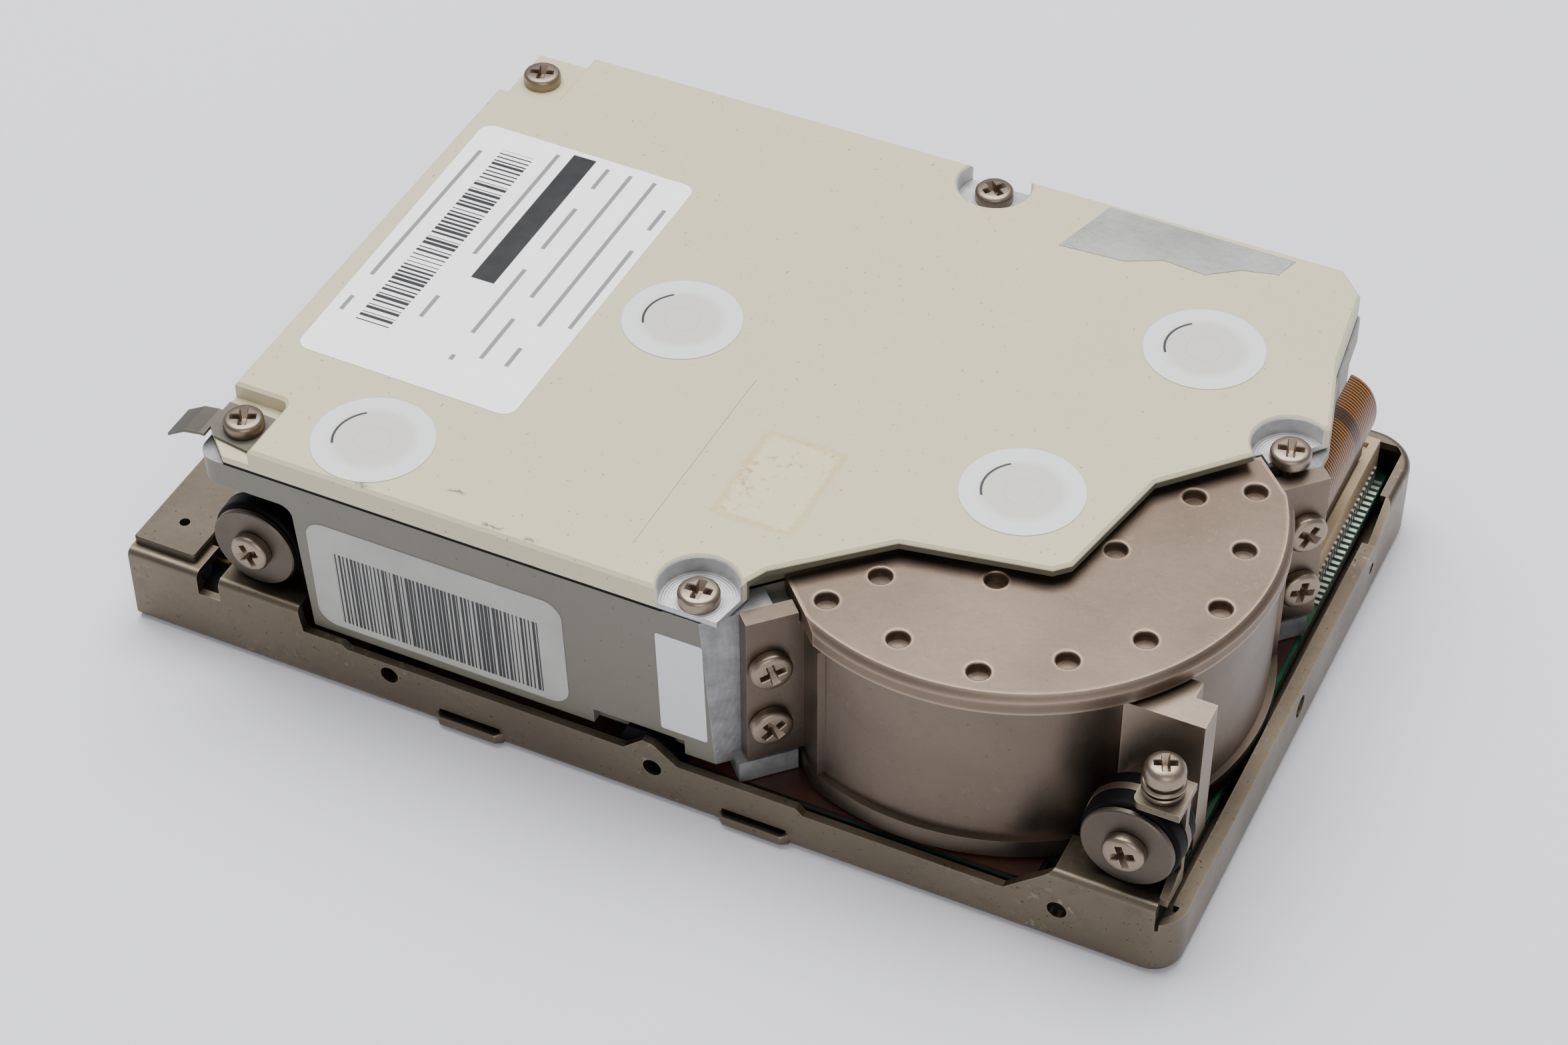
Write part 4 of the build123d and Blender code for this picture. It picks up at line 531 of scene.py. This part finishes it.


# rim sets how strongly each metal's edges carry the painted highlight
MATERIALS = {
    "tray": metal("tray_steel", rgb(112, 102, 88), 0.36, blotch=45, spots=0.6, pits=0.75, rim=0.5, dirt=0.45),
    "panel": metal("panel_steel", rgb(100, 91, 80), 0.42, pits=0.7),
    "plate": metal("plate_steel", rgb(121, 105, 92), 0.42, blotch=40, spots=0.1, pits=0.25, rim=0.8,
                   broad=True),
    "motor": metal("motor_steel", rgb(112, 100, 89), 0.36, blotch=40, spots=0.1, pits=0.3, extra=glue_line),
    "bracket": metal("bracket_steel", rgb(136, 122, 108), 0.36, blotch=40, pits=0.3),
    "screw": metal("screw_steel", rgb(142, 128, 113), 0.33, grain=6000, pits=0.3, rim=0.5),
    "washer": metal("washer_steel", rgb(95, 87, 78), 0.4, pits=0.1, rim=0.6),
    "clip": metal("clip_steel", rgb(104, 100, 92), 0.5, pits=0.5),
    "bare": metal("bare_aluminium", rgb(205, 205, 205), 0.32, pits=0.1),
    "bright": metal("bright_steel", rgb(200, 200, 200), 0.22),
    "dark": metal("dark_steel", rgb(70, 70, 74), 0.45),
    "disk": metal("disk_surface", rgb(190, 180, 170), 0.08, rim=0.0),
    "copper": metal("copper_wire", rgb(190, 110, 70), 0.35),
    "gold": metal("gold_pins", rgb(215, 180, 110), 0.3, rim=0.0),
    "tin": metal("tinned_leads", rgb(222, 222, 214), 0.3, rim=0.0),
    "foil": metal("silver_foil", rgb(170, 170, 166), 0.35, rim=0.0),
    "cover": paint("painted_cover", COVER, cover_bare, rgb(150, 150, 150), rgb(208, 208, 208), cover_extra),
    "casting": paint("painted_casting", CASTING, casting_bare, rgb(112, 112, 112), rgb(172, 172, 172)),
    "board": board_material(),
    "chip": plain("black_plastic", rgb(30, 30, 32), 0.5),
    "tan": plain("tan_plastic", rgb(180, 140, 80), 0.5),
    "beige": plain("beige_plastic", rgb(190, 164, 130), 0.55),
    "brown": plain("brown_plastic", rgb(52, 38, 32), 0.4),
    "film": plain("brown_film", rgb(62, 36, 26), 0.35, tone=0.6),
    "rubber": plain("black_rubber", rgb(5, 5, 5), 0.55, 0.08),
    "white": plain("white_filter", rgb(225, 225, 220), 0.8),
    "ceramic": plain("slider_ceramic", rgb(40, 40, 44), 0.3),
    "label": rating_material(),
    "bars": side_material(),
    "lot": plain("printed_label", rgb(214, 214, 214), 0.45, tone=0.06),
    "seal": seal_material(),
    "amber": film_material(),
}

MATERIAL_OF = {
    "frame_tray": "tray", "end_panel": "panel", "main_board": "board", "board_chips": "chip",
    "board_capacitors": "tan", "board_screws": "screw", "interface_connector": "chip",
    "interface_pins": "gold", "power_connector": "chip", "power_pins": "gold", "jumper_block": "chip",
    "flex_connector": "beige", "flex_connector_leads": "tin", "flex_stiffener": "brown",
    "flex_circuit": "amber", "board_insulator": "film", "damper_grommets": "rubber",
    "damper_washers": "washer", "damper_screws": "screw", "side_bumpers": "rubber",
    "terminal_screw": "screw", "base_casting": "casting", "top_cover": "cover", "cover_gasket": "rubber",
    "cover_screws": "screw", "ground_clip": "clip", "motor_top_plate": "plate",
    "motor_bottom_plate": "motor", "motor_shell": "motor", "motor_screws": "screw",
    "mount_bracket": "bracket", "upper_magnet": "bright", "lower_magnet": "bright",
    "crash_stops": "rubber", "spindle_stator": "dark", "stator_coils": "copper",
    "spindle_bearings": "bright", "pivot_post": "bright", "pivot_bearings": "bright",
    "recirculation_filter": "white", "breather_filter": "white", "spindle_hub": "bare",
    "spindle_shaft": "bright", "rotor_magnet": "dark", "data_disks": "disk", "disk_spacers": "bare",
    "disk_clamp": "bare", "clamp_screws": "screw", "arm_comb": "bare", "pivot_sleeve": "bright",
    "voice_coil": "copper", "head_suspensions": "bright", "head_sliders": "ceramic",
    "rating_label": "label", "side_label": "bars", "lot_label": "lot", "seal_labels": "seal",
    "foil_label": "foil",
}
for node, key in MATERIAL_OF.items():
    NODES[node].data.materials.clear()
    NODES[node].data.materials.append(MATERIALS[key])


# Screws: domed heads with a tapered cross recess, in place of the plain CAD ones
HEAD_SHARP, LIP_SHARP = 32, 40


def lathe(profile, segments=40):
    """Closed mesh turned from (radius, height) points that start and end on the axis, in millimetres."""
    bm = bmesh.new()
    turn = [2 * math.pi * k / segments for k in range(segments)]
    rings = []
    for rad, high in profile:
        if rad == 0:
            rings.append([bm.verts.new((0, 0, high * MM))])
        else:
            points = [(rad * math.cos(a) * MM, rad * math.sin(a) * MM, high * MM) for a in turn]
            rings.append([bm.verts.new(point) for point in points])
    for a, b in zip(rings, rings[1:]):
        for k in range(segments):
            n = (k + 1) % segments
            corners = [a[k % len(a)], a[n % len(a)], b[n % len(b)], b[k % len(b)]]
            bm.faces.new(list(dict.fromkeys(corners)))
    bmesh.ops.recalc_face_normals(bm, faces=bm.faces)
    return bm


def close_rings(bm, rings):
    """Faces between neighbouring rings of the same length, and one over each end."""
    for a, b in zip(rings, rings[1:]):
        for k in range(len(a)):
            n = (k + 1) % len(a)
            bm.faces.new((a[k], a[n], b[n], b[k]))
    bm.faces.new(rings[0])
    bm.faces.new(rings[-1])
    bmesh.ops.recalc_face_normals(bm, faces=bm.faces)


def cross_cutter(top, cross, arm, deep):
    """Cross-shaped plug that flares at the head's surface and narrows towards the bottom of the recess."""
    bm = bmesh.new()
    rings = []
    # Height, share of the arms' length and share of their width at each level
    levels = ((top + 0.2, 1.2, 1.7), (top - 0.14, 1.0, 1.0), (top - deep, 0.5, 0.55))
    for z, long_share, wide_share in levels:
        far, near = cross * long_share / 2, arm * wide_share / 2
        outline = [(far, -near), (far, near), (near, near)]
        ring = []
        for _ in range(4):
            ring += [bm.verts.new((x * MM, y * MM, z * MM)) for x, y in outline]
            outline = [(-y, x) for x, y in outline]
        rings.append(ring)
    close_rings(bm, rings)
    return bm


def as_object(name, bm):
    mesh = bpy.data.meshes.new(name)
    bm.to_mesh(mesh)
    bm.free()
    ob = bpy.data.objects.new(name, mesh)
    bpy.context.collection.objects.link(ob)
    return ob


def smooth(ob, sharp, material):
    """Smooth shading with edges over `sharp` degrees kept hard, and one material."""
    for poly in ob.data.polygons:
        poly.use_smooth = True
    ob.data.set_sharp_from_angle(angle=math.radians(sharp))
    ob.data.materials.append(material)


def head_mesh(name, profile, cross=3.6, arm=1.05, deep=1.3):
    """One screw's mesh with a recess cut from the top, the profile's first point."""
    ob = as_object(name, lathe(profile))
    tool = as_object(name + "_tool", cross_cutter(profile[0][1], cross, arm, deep))
    cut = ob.modifiers.new("recess", "BOOLEAN")
    cut.operation = "DIFFERENCE"
    cut.solver = "EXACT"
    cut.object = tool
    bpy.context.view_layer.update()
    mesh = bpy.data.meshes.new_from_object(ob.evaluated_get(bpy.context.evaluated_depsgraph_get()))
    bpy.data.objects.remove(ob)
    bpy.data.objects.remove(tool)
    return mesh


def place_heads(name, mesh, spots, node, material):
    """One piece made of the head at each spot: (origin in millimetres, axis, turn about it)."""
    bm = bmesh.new()
    for origin, axis, turn in spots:
        part = bmesh.new()
        part.from_mesh(mesh)
        stand = Vector(axis).to_track_quat("Z", "Y").to_matrix().to_4x4()
        place = Matrix.Translation(Vector(origin) * MM) @ stand
        bmesh.ops.transform(part, matrix=place @ Matrix.Rotation(turn, 4, "Z"), verts=part.verts)
        piece = bpy.data.meshes.new("part")
        part.to_mesh(piece)
        part.free()
        bm.from_mesh(piece)
        bpy.data.meshes.remove(piece)
    ob = as_object(name, bm)
    smooth(ob, HEAD_SHARP, material)
    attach(ob, "drive")
    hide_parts(node)


def pan_head(radius, high, shank, reach_down):
    """Cheese head with a rounded upper edge and a slightly crowned top, on a plain shank."""
    crown = [(0, high), (radius * 0.6, high - 0.03), (radius - 0.55, high - 0.1),
             (radius - 0.25, high - 0.24), (radius - 0.07, high - 0.48), (radius, high - 0.75)]
    return crown + [(radius, 0.12), (radius - 0.12, 0), (shank, 0), (shank, -reach_down), (0, -reach_down)]


# Lid screws, in millimetres: origin and turn of the recess
SEAT_Z, STEP_Z, CLIP_THICK = 38.4, 38.6, 0.5
COVER_SPOTS = [((-62.6, 44.4, STEP_Z), 0.3), ((*SEAT_SCREWS[0], SEAT_Z), 0.9),
               ((*SEAT_SCREWS[1], SEAT_Z), 0.25), ((*SEAT_SCREWS[2], SEAT_Z), 0.1),
               ((-61.5, -44.4, STEP_Z + CLIP_THICK), 0.45)]
cover_head = head_mesh("cover_head", pan_head(2.9, 2.0, 1.2, 3.0))
place_heads("cover_screw_heads", cover_head, [(at, (0, 0, 1), turn) for at, turn in COVER_SPOTS],
            "cover_screws", MATERIALS["screw"])

# Damper screws, in millimetres: place along X, side and turn of the recess
DAMPER_Z, HEAD_BASE = 20.0, 48.4
DAMPER_SPOTS = [(-59.9, -1, 0.5), (-59.9, 1, 0.2), (71.9, -1, 0.35), (54.0, 1, 0.8)]
damper_head = head_mesh("damper_head", pan_head(3.0, 1.8, 1.98, 7.7))
damper_places = [((x, s * HEAD_BASE, DAMPER_Z), (0, s, 0), turn) for x, s, turn in DAMPER_SPOTS]
place_heads("damper_screw_heads", damper_head, damper_places, "damper_screws",
            MATERIALS["screw"])

# Ear screws, in millimetres: distance of the ears' front from the pivot, and places across and up
EAR_FRONT, EAR_U, EAR_Z = 9.205, 39.1, (28.7, 18.0)
motor_places = []
for k, u in enumerate((-EAR_U, EAR_U)):
    for n, z in enumerate(EAR_Z):
        ear_x = PIVOT[0] / MM + (EAR_FRONT + u) * DIAGONAL
        ear_y = PIVOT[1] / MM + (u - EAR_FRONT) * DIAGONAL
        motor_places.append(((ear_x, ear_y, z), (1, -1, 0), 0.25 + 0.4 * n + 0.7 * k))
motor_head = head_mesh("motor_head", pan_head(3.0, 1.8, 1.48, 4.0))
place_heads("motor_screw_heads", motor_head, motor_places, "motor_screws",
            MATERIALS["screw"])

# Earth terminal, in millimetres: its place and the outline of its stacked washers
TERMINAL_AT = (74.8, -44.2, 28.4)
TERMINAL = [(0, 5.2), (1.5, 5.16), (2.1, 4.98), (2.5, 4.65), (2.72, 4.2), (2.8, 3.7), (2.8, 2.75),
            (2.62, 2.5), (2.3, 2.42), (2.3, 2.05), (2.75, 1.98), (3.0, 1.75), (3.0, 1.5), (2.75, 1.3),
            (2.2, 1.25), (2.2, 0.85), (2.75, 0.78), (2.9, 0.6), (2.9, 0.1), (2.8, 0), (1.25, 0),
            (1.25, -1.1), (0, -1.1)]
terminal_head = head_mesh("terminal_head", TERMINAL, cross=3.1, arm=1.0, deep=1.5)
place_heads("terminal_screw_head", terminal_head, [(TERMINAL_AT, (0, 0, 1), 0.4)], "terminal_screw",
            MATERIALS["screw"])

# Pressed lips under the lanced slots of both side walls, in millimetres
HALF_WIDE, LIP_LONG, LIP_LOW, LIP_HIGH, LIP_OUT = 50.8, 10.6, 0.5, 2.35, 0.95
LIP_STEPS, LIP_FADE = 24, 0.16
SLOT_X = (-25.05, 19.35)


def lip(name, centre_x, side):
    """A strip pushed outwards below a slot, its ends drawn back to the wall."""
    bm = bmesh.new()
    rows = []
    for k in range(LIP_STEPS + 1):
        s = 2 * k / LIP_STEPS - 1
        swell = min(1.0, (1 - abs(s)) / LIP_FADE)
        out = LIP_OUT * swell * swell * (3 - 2 * swell)
        x = centre_x + s * LIP_LONG / 2
        front = HALF_WIDE + out
        section = [(HALF_WIDE - 0.5, LIP_LOW), (HALF_WIDE + out * 0.55, LIP_LOW),
                   (HALF_WIDE + out * 0.9, LIP_LOW + 0.3), (front, LIP_LOW + 0.7), (front, LIP_HIGH - 0.12),
                   (front - 0.12, LIP_HIGH), (front - 0.75, LIP_HIGH), (HALF_WIDE - 0.5, LIP_HIGH - 0.5)]
        rows.append([bm.verts.new((x * MM, side * y * MM, z * MM)) for y, z in section])
    close_rings(bm, rows)
    ob = as_object(name, bm)
    smooth(ob, LIP_SHARP, MATERIALS["tray"])
    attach(ob, "drive")


for tag, side in (("near", -1), ("far", 1)):
    for n, centre_x in enumerate(SLOT_X):
        lip(f"slot_lip_{tag}_{n}", centre_x, side)

# Stage, with lengths in metres and powers in watts
FLOOR_SIZE, FLOOR_COLOUR = 6, rgb(226, 226, 230)
SKY_COLOUR, SKY_STRENGTH = (0.9, 0.92, 1.0, 1.0), 0.54
KEY_AT, KEY_SIZE, KEY_POWER = (-0.15, 0.22, 0.9), (1.0, 0.7), 17
FILL_AT, FILL_SIZE, FILL_POWER = (0.5, -0.8, 0.5), (0.7, 0.5), 3.0

bpy.ops.mesh.primitive_plane_add(size=FLOOR_SIZE, location=(0, 0, 0))
floor = bpy.context.object
floor.name = "floor"
floor_mat, _, floor_bsdf, _ = new_material("floor_paper", 0.75, 0.0, 0.2)
floor_bsdf.inputs["Base Color"].default_value = FLOOR_COLOUR
floor.data.materials.append(floor_mat)

world = bpy.data.worlds.new("studio")
bpy.context.scene.world = world
world.use_nodes = True
world.node_tree.nodes["Background"].inputs["Color"].default_value = SKY_COLOUR
world.node_tree.nodes["Background"].inputs["Strength"].default_value = SKY_STRENGTH


def area(name, loc, size, power):
    """White area light that looks at the origin."""
    light = bpy.data.lights.new(name, "AREA")
    light.shape = "RECTANGLE"
    light.size, light.size_y = size
    light.energy = power
    ob = bpy.data.objects.new(name, light)
    bpy.context.collection.objects.link(ob)
    ob.location = loc
    ob.rotation_mode = "QUATERNION"
    ob.rotation_quaternion = (-Vector(loc)).to_track_quat("-Z", "Y")


area("key_top", KEY_AT, KEY_SIZE, KEY_POWER)
area("fill_front", FILL_AT, FILL_SIZE, FILL_POWER)

# Camera fitted to the photograph: place in metres, angles in radians
CAMERA_AT = (0.165325, -0.343945, 0.366628)
AZIMUTH, ELEVATION, ROLL = 0.448552, 0.754568, -0.005364
LENS, SENSOR = 81.88, 36.0

cam_data = bpy.data.cameras.new("photo_camera")
cam = bpy.data.objects.new("photo_camera", cam_data)
bpy.context.collection.objects.link(cam)
cam_data.sensor_width = SENSOR
cam_data.lens = LENS
cam_data.clip_start, cam_data.clip_end = 0.01, 20
level = math.cos(ELEVATION)
back = Vector((math.sin(AZIMUTH) * level, -math.cos(AZIMUTH) * level, math.sin(ELEVATION)))
right = Vector((0, 0, 1)).cross(back).normalized()
up = back.cross(right)
rolled_right = right * math.cos(ROLL) + up * math.sin(ROLL)
rolled_up = up * math.cos(ROLL) - right * math.sin(ROLL)
cam.rotation_mode = "QUATERNION"
cam.rotation_quaternion = Matrix((rolled_right, rolled_up, back)).transposed().to_quaternion()
cam.location = CAMERA_AT
bpy.context.scene.camera = cam
